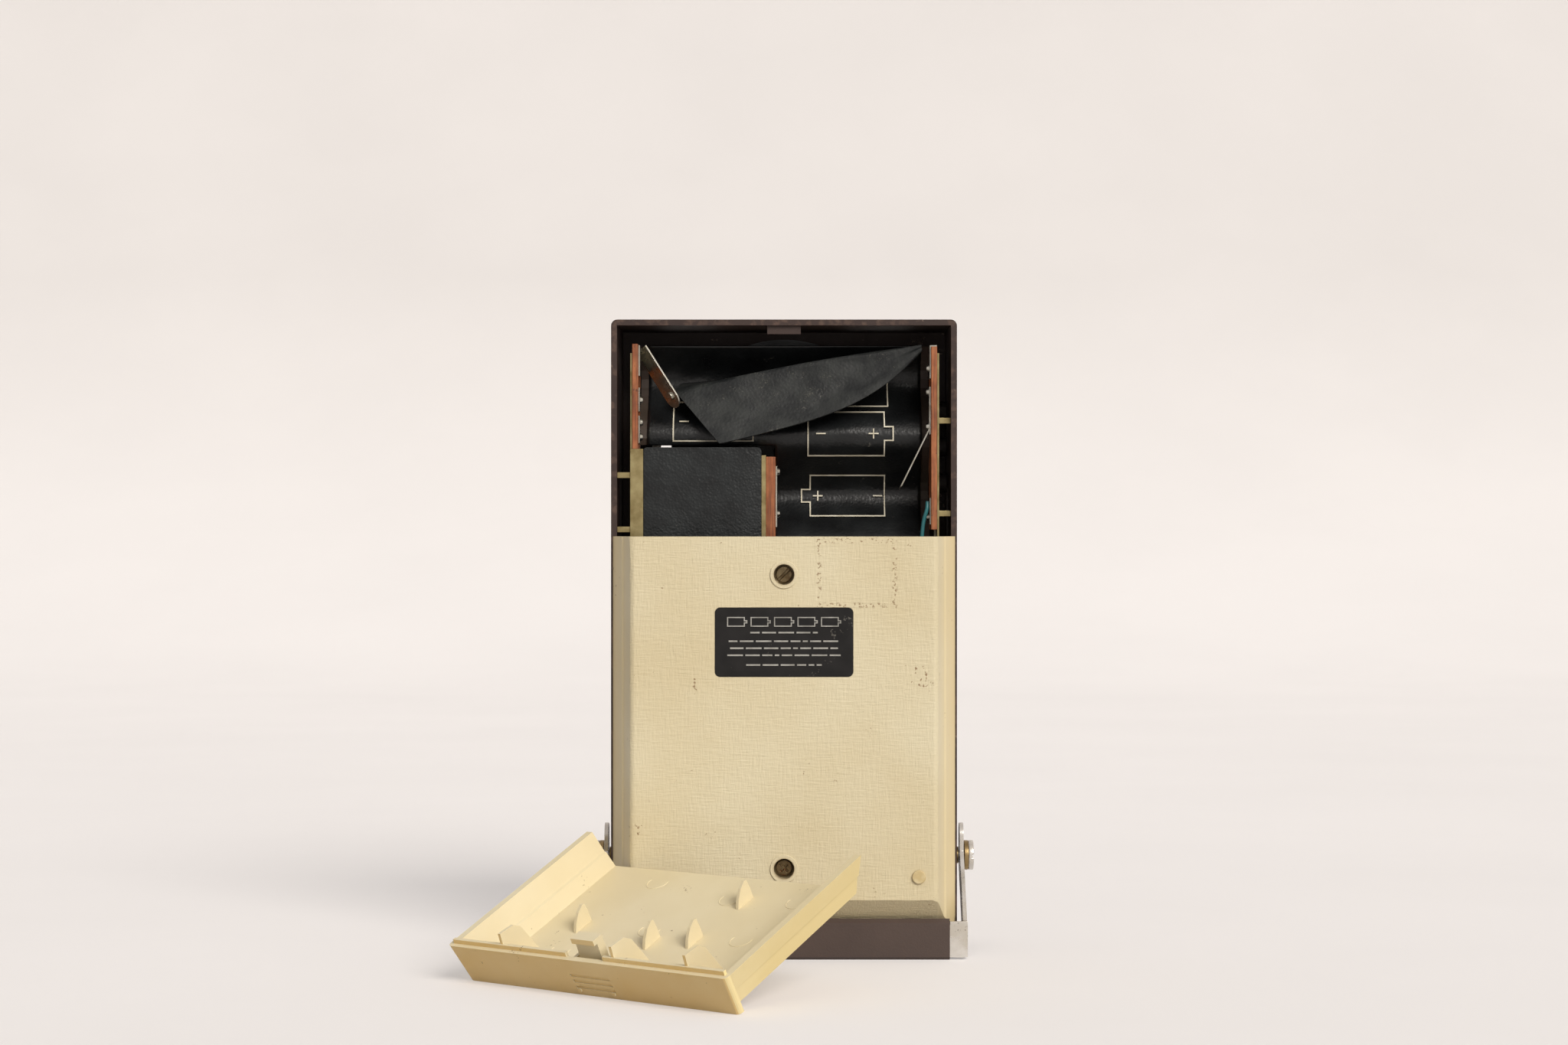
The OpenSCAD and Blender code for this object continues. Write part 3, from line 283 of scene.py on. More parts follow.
@dataclass(frozen=True)
class CoverFinish(Finish):
    """Cream moulding of the back cover, with the mark of a lost sticker and grime round its screws."""

    mark_middle: Pair = (27.0, 144.0)
    mark_half: Pair = (14.0, 12.0)
    mark_line: float = 0.5
    mark_fade: float = 2.6
    mark_cover: float = 0.75
    crumb_mm: float = 0.9
    crumb_turn: Pair = (0.55, 0.62)
    screw_heights: Pair = (34.3, 143.4)
    grime: str = "#7c6237"
    grime_ring: Pair = (3.3, 4.4)
    grime_cover: float = 0.8
    aged: str = "#d9c495"
    aged_cover: float = 0.75
    panel_half: float = 57.0
    panel_edge: float = 0.8
    side_relief: float = 0.1
    rim_half: float = 63.0

    def soil(self, tree: Tree, place: Socket, colour: Socket) -> Socket:
        """Add the yellowed sides, the sticker's outline and the grime round the collars.

        Args:
            tree: node tree of the material.
            place: Object coordinates.
            colour: colour of the clean surface.

        Returns:
            The aged colour.
        """
        axes = add(tree, "ShaderNodeSeparateXYZ", {0: place}).outputs
        aside = add(tree, "ShaderNodeMath", {0: axes[X]}, operation="ABSOLUTE").outputs[0]
        sides = {0: aside, 1: self.panel_half * MM, 2: self.rim_half * MM, 4: self.aged_cover}
        tints = {0: add(tree, "ShaderNodeMapRange", sides).outputs[0], 6: colour, 7: linear(self.aged)}
        colour = add(tree, "ShaderNodeMix", tints, data_type="RGBA").outputs[2]
        gaps = []
        for axis, middle, half in zip((X, Z), self.mark_middle, self.mark_half):
            off = add(tree, "ShaderNodeMath", {0: axes[axis], 1: middle * MM}, operation="SUBTRACT")
            size = add(tree, "ShaderNodeMath", {0: off.outputs[0]}, operation="ABSOLUTE")
            past = add(tree, "ShaderNodeMath", {0: size.outputs[0], 1: half * MM}, operation="SUBTRACT")
            gaps.append(past.outputs[0])
        edge = add(tree, "ShaderNodeMath", {0: gaps[0], 1: gaps[1]}, operation="MAXIMUM")
        near = add(tree, "ShaderNodeMath", {0: edge.outputs[0]}, operation="ABSOLUTE")
        full, gone = self.mark_line * MM, self.mark_fade * self.mark_line * MM
        fade = {0: near.outputs[0], 1: full, 2: gone, 3: 1.0, 4: 0.0}
        line = add(tree, "ShaderNodeMapRange", fade)
        grit = {"Vector": place, "Scale": per(self.crumb_mm), "Detail": 3.0}
        crumbs = add(tree, "ShaderNodeTexNoise", grit)
        start, end = self.crumb_turn
        broken = add(tree, "ShaderNodeMapRange", {0: crumbs.outputs[0], 1: start, 2: end, 4: self.mark_cover})
        dots = add(tree, "ShaderNodeMath", {0: line.outputs[0], 1: broken.outputs[0]}, operation="MULTIPLY")
        tints = {0: dots.outputs[0], 6: colour, 7: linear(self.dirt)}
        colour = add(tree, "ShaderNodeMix", tints, data_type="RGBA").outputs[2]
        inner, outer = self.grime_ring
        for height in self.screw_heights:
            screw = (0.0, 0.0, height * MM)
            way = add(tree, "ShaderNodeVectorMath", {0: place, 1: screw}, operation="SUBTRACT").outputs[0]
            flat = add(tree, "ShaderNodeVectorMath", {0: way, 1: (1.0, 0.0, 1.0)}, operation="MULTIPLY")
            far = add(tree, "ShaderNodeVectorMath", {0: flat.outputs[0]}, operation="LENGTH")
            fade = {0: far.outputs["Value"], 1: inner * MM, 2: outer * MM, 3: self.grime_cover, 4: 0.0}
            ring = add(tree, "ShaderNodeMapRange", fade)
            tints = {0: ring.outputs[0], 6: colour, 7: linear(self.grime)}
            colour = add(tree, "ShaderNodeMix", tints, data_type="RGBA").outputs[2]
        return super().soil(tree, place, colour)

    def height(self, tree: Tree, place: Socket) -> Socket:
        """Keep the woven grain on the flat panel and leave the sides smooth.

        Args:
            tree: node tree of the material.
            place: Object coordinates.

        Returns:
            Height from 0 to about 2.
        """
        axes = add(tree, "ShaderNodeSeparateXYZ", {0: place}).outputs
        aside = add(tree, "ShaderNodeMath", {0: axes[X]}, operation="ABSOLUTE").outputs[0]
        smooth_x = self.panel_half + self.panel_edge
        panel = {0: aside, 1: self.panel_half * MM, 2: smooth_x * MM, 3: 1.0, 4: self.side_relief}
        flat = add(tree, "ShaderNodeMapRange", panel).outputs[0]
        weave = super().height(tree, place)
        return add(tree, "ShaderNodeMath", {0: weave, 1: flat}, operation="MULTIPLY").outputs[0]


@dataclass(frozen=True)
class RimFinish(Finish):
    """Brown moulding whose open rim is rubbed paler."""

    rim_y: float = across("front_housing", Y, 0)
    rim_deep: float = 0.5
    rub_mm: float = 3.0
    rub_turn: Pair = (0.5, 0.66)
    rub_cover: float = 0.7
    rubbed: str = "#5a463c"

    def soil(self, tree: Tree, place: Socket, colour: Socket) -> Socket:
        """Rub the rim paler, in patches.

        Args:
            tree: node tree of the material.
            place: Object coordinates.
            colour: colour of the clean surface.

        Returns:
            The worn colour.
        """
        axes = add(tree, "ShaderNodeSeparateXYZ", {0: place}).outputs
        deep = self.rim_y + self.rim_deep
        rim = add(tree, "ShaderNodeMapRange", {0: axes[Y], 1: deep * MM, 2: self.rim_y * MM})
        rubs = add(tree, "ShaderNodeTexNoise", {"Vector": place, "Scale": per(self.rub_mm), "Detail": 5.0})
        start, end = self.rub_turn
        worn = add(tree, "ShaderNodeMapRange", {0: rubs.outputs[0], 1: start, 2: end, 4: self.rub_cover})
        share = add(tree, "ShaderNodeMath", {0: rim.outputs[0], 1: worn.outputs[0]}, operation="MULTIPLY")
        tints = {0: share.outputs[0], 6: colour, 7: linear(self.rubbed)}
        colour = add(tree, "ShaderNodeMix", tints, data_type="RGBA").outputs[2]
        return super().soil(tree, place, colour)


# Grain and brush lines below about 0.4 mm would not show in the render, so they are drawn at 0.4 to 1.2 mm.
# Moulded ABS: a spark-eroded grain spreads the highlight wide. The open rim is rubbed paler.
BROWN_MOULDING = RimFinish("brown_abs_moulding", "#30231f", "#382a25", grain_mm=0.7, depth_mm=0.035,
                           roughness=0.5, ior=1.4, dirt="#8a7668", dirt_share=0.18, dirt_mm=2.2)
# Moulded ABS of the grip: the same grain, paler from use.
GRIP_MOULDING = Finish("brown_grip_moulding", "#3d2f29", "#463730", grain_mm=0.8, depth_mm=0.04,
                       roughness=0.55)
# ABS moulded with a woven pattern, which side light picks out. Its 0.7 mm threads are coarser than real ones.
CREAM_COVER = CoverFinish("cream_linen_abs", "#d2c7a8", "#cabc99", Relief.LINEN, 0.7, 0.18, 60.0, 0.5, 0.06,
                          dirt="#7a5a38", dirt_share=0.1, dirt_mm=1.3)
# Smooth ABS of the door's inside: an even cream with a soft sheen and a few specks.
CREAM_DOOR = Finish("cream_smooth_abs", "#dfd2b0", "#d9caa4", Relief.POLISHED, 6.0, 0.05, 45.0, 0.42, 0.08,
                    dirt="#7a5a35", dirt_share=0.08, dirt_mm=1.1)
# The same ABS yellowed by daylight. This copy is painted shade: darker and deeper yellow, for the end wall
# and back.
SHADED_YELLOWED_DOOR = Finish("yellowed_abs_painted_shade", "#e8cd92", "#e0bf7c", Relief.POLISHED, 6.0, 0.05, 45.0, 0.42,
                       0.08, dirt="#7a5a35", dirt_share=0.06, dirt_mm=1.1)
# The same yellowed ABS with painted light: a paler copy for the side walls, as if lit.
LIT_YELLOWED_DOOR = Finish("yellowed_abs_painted_light", "#f0dfab", "#e8d397", Relief.POLISHED, 6.0, 0.05, 45.0, 0.42,
                     0.08, dirt="#7a5a35", dirt_share=0.06, dirt_mm=1.1)
# ABS pegs: a waxy cream, darker where they were rubbed.
CREAM_PEG = Finish("cream_peg_abs", "#d2c29b", "#c0ab7c", Relief.POLISHED, 3.0, 0.03, 4.0, 0.45)
# Polished ABS keys: a clear highlight, dulled in patches by fingers.
CREAM_KEY = Finish("cream_key_abs", "#e0d3b4", "#d8c8a2", Relief.POLISHED, 5.0, 0.03, 12.0, 0.32)
RED_KEY = Finish("red_key_abs", "#a5392b", "#93301f", Relief.POLISHED, 5.0, 0.03, 12.0, 0.3)
# Dark moulded ABS: matt, so that it falls back behind what it holds.
DARK_MOULDING = Finish("dark_abs_moulding", "#332d2b", "#3a3330", grain_mm=0.8, roughness=0.55)
# Polished black ABS: a small bright highlight on each knob.
BLACK_KNOB = Finish("black_knob_abs", "#24221f", "#2b2926", Relief.POLISHED, 3.0, 0.03, 6.0, 0.3)
# Unpolished moulding under the cells: coarse and dull.
FLOOR_MOULDING = Finish("brown_floor_moulding", "#40332c", "#33291f", grain_mm=1.2, roughness=0.65)
# Moulded nylon of the reel spindles: milky and smooth.
PALE_MOULDING = Finish("pale_nylon", "#dcd6c8", "#cfc7b4", Relief.POLISHED, 4.0, 0.03, 8.0, 0.35)
# Embossed vinyl cloth: black with a pebbled grain that catches light on each crown, and grey dust.
LEATHER_CLOTH = Finish("pebbled_case_cloth", "#17191a", "#1f2223", Relief.LEATHER, 0.85, 0.15, 9.0, 0.4,
                       0.07, ior=1.36, dirt="#4b4a46", dirt_share=0.12, dirt_mm=1.4)
# Thinner vinyl cloth of the liner: glossier, so that each row of cells shows as a band of light.
LINER_CLOTH = Finish("black_liner_cloth", "#111213", "#191b1c", Relief.LEATHER, 1.0, 0.09, 12.0, 0.34, 0.07,
                     ior=1.4, dirt="#55534d", dirt_share=0.1, dirt_mm=1.3)
# The flap is the same cloth, rubbed dull and grey by dust in soft patches.
FLAP_CLOTH = Finish("worn_flap_cloth", "#191b1c", "#2a2c2b", Relief.LEATHER, 1.0, 0.1, 7.0, 0.48, 0.1,
                    ior=1.36, dirt="#484742", dirt_share=0.3, dirt_mm=0.6)
# Printing inks: dry and matt, a little uneven.
PRINT_INK = Finish("cream_printing_ink", "#d8d2c0", "#bdb5a0", Relief.FELTED, 0.8, 0.02, 5.0, 0.7)
DARK_INK = Finish("dark_printing_ink", "#3a302a", "#45392f", Relief.FELTED, 0.8, 0.02, 5.0, 0.7)
SILVER_INK = Finish("silver_printing_ink", "#a3a19b", "#807e78", Relief.FELTED, 0.6, 0.01, 4.0, 0.5)
# Pressed paper laminate: red-brown, with fibres along the sheet and a dull sheen.
LAMINATE = Finish("red_brown_laminate", "#8a4b27", "#a4633a", Relief.BRUSHED, 0.5, 0.06, 5.0, 0.5, 0.1,
                  dirt="#4c2813", dirt_share=0.2, dirt_mm=1.2, along=(1.0, 0.12, 0.04), tone="#4a230f",
                  tone_share=0.6)
# Laminate of the circuit board: paler, with a faint run of fibres.
BOARD = Finish("brown_board_laminate", "#8c6a3c", "#7d5c31", Relief.BRUSHED, 0.6, 0.03, 8.0, 0.5)
# Dipped lacquer: smooth, with a brown that changes from one component to the next.
COMPONENT = Finish("component_lacquer", "#6b5d4d", "#8a5a34", Relief.POLISHED, 3.0, 0.02, 14.0, 0.4)
# Felted paper: fuzzy, with hardly any highlight.
PAPER_CONE = Finish("felted_cone_paper", "#2c2a28", "#363330", Relief.FELTED, 0.9, 0.06, 9.0, 0.85)
# Nickel plate: dulled unevenly, so its gloss varies from patch to patch.
NICKEL = Finish("nickel_plate", "#c3c1b8", "#9d998c", Relief.BRUSHED, 0.5, 0.01, 4.0, 0.3, 0.1, 1.0,
                dirt="#6d5a3c", dirt_share=0.22, dirt_mm=0.9)
# Passivated steel sheet: an oily olive gloss with brown spots.
OLIVE_SHEET = Finish("olive_passivated_sheet", "#a3966d", "#7b6d49", Relief.BRUSHED, 0.6, 0.02, 6.0, 0.42,
                     0.1, 0.8, dirt="#4f4427", dirt_share=0.2, dirt_mm=1.3)
# Zinc-plated steel: grey, with faint lines from rolling.
DECK_STEEL = Finish("plated_deck_steel", "#a9a69c", "#98948a", Relief.BRUSHED, 0.6, 0.02, 18.0, 0.38, 0.08,
                    1.0)
# Steel screws: browned, with rust in the slots.
SCREW_STEEL = Finish("rusted_screw_steel", "#7d6f54", "#5c4c34", Relief.POLISHED, 1.5, 0.03, 2.5, 0.36,
                     0.12, 0.9, dirt="#5a3217", dirt_share=0.42, dirt_mm=0.8)
# Ground steel: bright and nearly a mirror, with fine lines.
BRIGHT_STEEL = Finish("ground_bright_steel", "#cfd1d1", "#bfc1c1", Relief.BRUSHED, 0.4, 0.008, 10.0, 0.2,
                      0.05, 1.0)
# Chrome plate: clear reflections, broken by grey pits.
CHROME = Finish("worn_chrome_plate", "#e0ddd8", "#c8c2b7", Relief.POLISHED, 5.0, 0.01, 9.0, 0.24, 0.1, 0.8,
                dirt="#6f6252", dirt_share=0.16, dirt_mm=1.0)
# Turned brass: warm, with the lines of the tool.
BRASS = Finish("turned_brass", "#a08a62", "#8c7650", Relief.BRUSHED, 0.4, 0.01, 5.0, 0.32, 0.08, 1.0)
# Machined zinc: pale grey, with the lines of the tool.
FLYWHEEL_METAL = Finish("machined_zinc", "#b7b2a3", "#a39e90", Relief.BRUSHED, 0.5, 0.015, 12.0, 0.35, 0.06,
                        1.0)
# Drawn steel: a cool grey with stretched lines.
MOTOR_STEEL = Finish("drawn_motor_steel", "#8e9296", "#7f8286", Relief.BRUSHED, 0.6, 0.015, 12.0, 0.36,
                     0.08, 1.0)
# Brushed aluminium: fine lines along the trim, which draw the highlight out across them.
TRIM = Finish("brushed_trim_aluminium", "#c0bdb5", "#b3b0a8", Relief.BRUSHED, 0.45, 0.02, 25.0, 0.34, 0.06,
              1.0)
# Sprayed paint: an even grey with a fine orange peel.
SPEAKER_PAINT = Finish("grey_frame_paint", "#5f6163", "#545658", Relief.SPARKED, 0.8, 0.02, 15.0, 0.5)
# Stoved enamel: smooth black with pale scuffs.
ENAMEL = Finish("black_enamel_plate", "#090808", "#110f0f", Relief.POLISHED, 2.5, 0.015, 7.0, 0.42, 0.08,
                ior=1.36, dirt="#5d5a54", dirt_share=0.14, dirt_mm=0.9)
# Rubber: black and dull.
RUBBER = Finish("black_rubber", "#1d1c1b", "#252422", Relief.SPARKED, 0.8, 0.02, 8.0, 0.7)
# Lacquered sheet: a clean red line before the pale card.
NEEDLE = Finish("red_needle_lacquer", "#b5331f", "#a52b18", Relief.POLISHED, 2.0, 0.01, 3.0, 0.4)
# Cast acrylic: clear, with sharp reflections.
WINDOW = Finish("clear_acrylic_sheet", "#f6f8f8", "#f0f3f3", Relief.POLISHED, 9.0, 0.004, 30.0, 0.03, 0.02,
                clear=1.0)
# Matt paper of the backdrop: no highlight, and hardly any pattern.
BACKDROP_PAPER = Finish("matt_backdrop_paper", "#c8c4c2", "#c5c1bf", Relief.FELTED, 2.0, 0.01, 300.0, 0.9,
                        0.02)
# Vinyl of the wire: a waxy teal.
TEAL_WIRE = Finish("teal_wire_vinyl", "#276c6f", "#225d62", Relief.POLISHED, 3.0, 0.02, 6.0, 0.4)


def alone(obj: Thing) -> None:
    """Leave edit mode, select one object and make it the active one.

    Args:
        obj: object to work on.
    """
    if bpy.context.mode != "OBJECT":
        bpy.ops.object.mode_set(mode="OBJECT")
    bpy.ops.object.select_all(action="DESELECT")
    obj.select_set(True)
    bpy.context.view_layer.objects.active = obj


def fresh(name: str, op: Callable, **settings: Any) -> Thing:
    """Add a primitive with nothing else selected.

    Args:
        name: name of the new piece.
        op: operator that adds the primitive.
        **settings: sizes and place of the primitive.

    Returns:
        The new object.
    """
    bpy.ops.object.select_all(action="DESELECT")
    op(**settings)
    obj = bpy.context.view_layer.objects.active
    obj.name = name
    return obj


def settle(obj: Thing) -> None:
    """Move the object's place, turn and size into its mesh."""
    alone(obj)
    bpy.ops.object.transform_apply(location=True, rotation=True, scale=True)


def pick(obj: Thing, kind: str, test: Callable[[Vector], bool]) -> None:
    """Select faces or edges by the place of their middle, and stay in edit mode.

    Args:
        obj: object to edit.
        kind: FACE or EDGE.
        test: says whether a middle point is taken.
    """
    alone(obj)
    bpy.ops.object.mode_set(mode="EDIT")
    bpy.ops.mesh.select_mode(type=kind)
    bpy.ops.mesh.select_all(action="DESELECT")
    bpy.ops.object.mode_set(mode="OBJECT")
    points = obj.data.vertices
    for part in obj.data.polygons if kind == "FACE" else obj.data.edges:
        middle = sum((points[i].co for i in part.vertices), Vector()) / len(part.vertices)
        part.select = test(middle)
    bpy.ops.object.mode_set(mode="EDIT")


def object_mode() -> None:
    """Leave edit mode."""
    bpy.ops.object.mode_set(mode="OBJECT")


def whole(obj: Thing) -> None:
    """Edit one object with all of its mesh selected.

    Args:
        obj: object to edit.
    """
    alone(obj)
    bpy.ops.object.mode_set(mode="EDIT")
    bpy.ops.mesh.select_all(action="SELECT")


def face_out() -> None:
    """Turn all faces of the edited mesh outwards, and leave edit mode."""
    bpy.ops.mesh.select_all(action="SELECT")
    bpy.ops.mesh.normals_make_consistent(inside=False)
    object_mode()


def smooth(obj: Thing, angle: float) -> None:
    """Shade an object smooth, with edges sharper than an angle in degrees left sharp."""
    alone(obj)
    bpy.ops.object.shade_smooth_by_angle(angle=math.radians(angle))


def thicken(obj: Thing, thickness: float, offset: float) -> None:
    """Give a sheet its thickness with an applied Solidify.

    Args:
        obj: open sheet.
        thickness: thickness in metres.
        offset: 1 grows along the normals, -1 against them.
    """
    alone(obj)
    wall = obj.modifiers.new("thickness", "SOLIDIFY")
    wall.thickness = thickness
    wall.offset = offset
    bpy.ops.object.modifier_apply(modifier=wall.name)
    bpy.ops.object.mode_set(mode="EDIT")
    face_out()


def take(obj: Thing, finish: Finish, body: str, slot: str, *nodes: str) -> Thing:
    """Give a new piece its finish and its body, and hide the solids that it stands for.

    Args:
        obj: finished piece.
        finish: surface of the piece.
        body: body that it moves with.
        slot: material slot of the record, not used.
        *nodes: solids that it stands for.

    Returns:
        The piece.
    """
    obj.data.materials.clear()
    obj.data.materials.append(finish.make())
    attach(obj, body)
    if nodes:
        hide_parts(*nodes)
    LOG.info("piece %s on %s, %d faces", obj.name, body, len(obj.data.polygons))
    return obj


def dress(node: str, finish: Finish, edge_mm: float = 0.0) -> None:
    """Give a solid its finish and break its sharp edges.

    Args:
        node: name of the solid.
        finish: surface of the solid.
        edge_mm: width of the broken edge, or 0 to leave it sharp.
    """
    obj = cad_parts[node]
    for holder in obj.material_slots:
        holder.material = finish.make()
    if edge_mm:
        weld = obj.modifiers.new("weld", "WELD")
        weld.merge_threshold = WELD
        flat = obj.modifiers.new("flat", "DECIMATE")
        flat.decimate_type = "DISSOLVE"
        flat.angle_limit = FLAT
        edge = obj.modifiers.new("edge", "BEVEL")
        edge.width = edge_mm * MM
        edge.segments = 3
        edge.limit_method = "ANGLE"
        edge.angle_limit = SOLID_EDGE
        level = obj.modifiers.new("level", "WEIGHTED_NORMAL")
        level.keep_sharp = False
    LOG.info("solid %s: %s, edge %.2f mm", node, finish.name, edge_mm)


def remodel(node: str, name: str) -> Thing:
    """Copy a solid as one merged mesh that can be shaped further.

    Args:
        node: name of the solid.
        name: name of the copy.

    Returns:
        The copy, with its flat faces whole.
    """
    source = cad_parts[node]
    mesh = source.data.copy()
    mesh.transform(source.matrix_world)
    piece = bpy.data.objects.new(name, mesh)
    bpy.context.scene.collection.objects.link(piece)
    whole(piece)
    bpy.ops.mesh.customdata_custom_splitnormals_clear()
    bpy.ops.mesh.remove_doubles(threshold=WELD)
    bpy.ops.mesh.dissolve_limited(angle_limit=FLAT)
    object_mode()
    return piece


def round_off(piece: Thing, test: Callable[[Vector], bool], width: float) -> None:
    """Round the edges that a test picks.

    Args:
        piece: merged mesh.
        test: says whether an edge with this middle is rounded.
        width: width of the rounding in millimetres.
    """
    pick(piece, "EDGE", test)
    bpy.ops.mesh.bevel(offset=width * MM, segments=5, affect="EDGES", clamp_overlap=True)
    object_mode()


def soften(piece: Thing, edge_mm: float) -> None:
    """Break the remaining sharp edges and smooth the shading.

    Args:
        piece: merged mesh.
        edge_mm: width of the broken edge.
    """
    alone(piece)
    edge = piece.modifiers.new("edge", "BEVEL")
    edge.width = edge_mm * MM
    edge.segments = 2
    edge.limit_method = "ANGLE"
    edge.angle_limit = COPY_EDGE
    bpy.ops.object.modifier_apply(modifier=edge.name)
    bpy.ops.object.shade_smooth()
    level = piece.modifiers.new("level", "WEIGHTED_NORMAL")
    bpy.ops.object.modifier_apply(modifier=level.name)


def raise_print(flat: Thing, rise: float) -> None:
    """Give a flat print its thickness.

    Args:
        flat: shape on a face that looks along Y.
        rise: how far it is raised along Y, in metres.
    """
    pick(flat, "FACE", lambda m: True)
    bpy.ops.mesh.extrude_region_move(TRANSFORM_OT_translate={"value": (0, rise, 0)})
    face_out()


def bar_print(name: str, middle: Vector, wide: float, high: float, proud: float) -> Thing:
    """Printed bar on a face that looks along Y.

    Args:
        name: name of the piece.
        middle: middle of the bar.
        wide: width along X.
        high: height along Z.
        proud: thickness, towards -Y where it is positive.

    Returns:
        The bar.
    """
    bar = fresh(name, bpy.ops.mesh.primitive_plane_add, size=1, location=middle, rotation=UPRIGHT)
    bar.scale = (wide, high, 1)
    settle(bar)
    raise_print(bar, -proud)
    return bar


def join(name: str, parts: Sequence[Thing]) -> Thing:
    """Join pieces into one mesh.

    Args:
        name: name of the joined piece.
        parts: pieces to join.

    Returns:
        The joined piece.
    """
    alone(parts[0])
    for part in parts[1:]:
        part.select_set(True)
    if len(parts) > 1:
        bpy.ops.object.join()
    parts[0].name = name
    return parts[0]


def cell_outline(name: str, low: Pair, high: Pair, nub: float, line: float,
                 depth: Callable[[float], float], cuts: int) -> Thing:
    """Printed outline of one cell with its nub.

    Args:
        name: name of the piece.
        low: left end and foot of the cell's body, in millimetres.
        high: right end and top of the cell's body, in millimetres.
        nub: length of the nub, negative where it points to -X.
        line: width of the printed line, in millimetres.
        depth: Y of the printed face at a height, in metres.
        cuts: cuts along each edge, so that the line follows a curved face.

    Returns:
        The outline, as a thin raised line.
    """
    middle = Vector(((low[0] + high[0]) / 2, 0, (low[1] + high[1]) / 2)) * MM
    cell = fresh(name, bpy.ops.mesh.primitive_plane_add, size=1, location=middle, rotation=UPRIGHT)
    cell.scale = ((high[0] - low[0]) * MM, (high[1] - low[1]) * MM, 1)
    settle(cell)
    pick(cell, "FACE", lambda m: True)
    bpy.ops.mesh.subdivide(number_cuts=2)
    end = (high[0] if nub > 0 else low[0]) * MM
    third = (high[1] - low[1]) * MM / 6
    pick(cell, "EDGE", lambda m: abs(m.x - end) < NEAR and abs(m.z - middle.z) < third)
    bpy.ops.mesh.extrude_region_move(TRANSFORM_OT_translate={"value": (nub * MM, 0, 0)})
    bpy.ops.mesh.select_all(action="SELECT")
    bpy.ops.mesh.select_mode(type="FACE")
    bpy.ops.mesh.normals_make_consistent(inside=False)
    bpy.ops.mesh.dissolve_limited(angle_limit=FLAT)
    bpy.ops.mesh.inset(thickness=line * MM, depth=0)
    bpy.ops.mesh.delete(type="FACE")
    bpy.ops.mesh.select_all(action="SELECT")
    bpy.ops.mesh.subdivide(number_cuts=cuts)
    object_mode()
    for point in cell.data.vertices:
        point.co.y = depth(point.co.z)
    thicken(cell, INK, 0)
    return cell


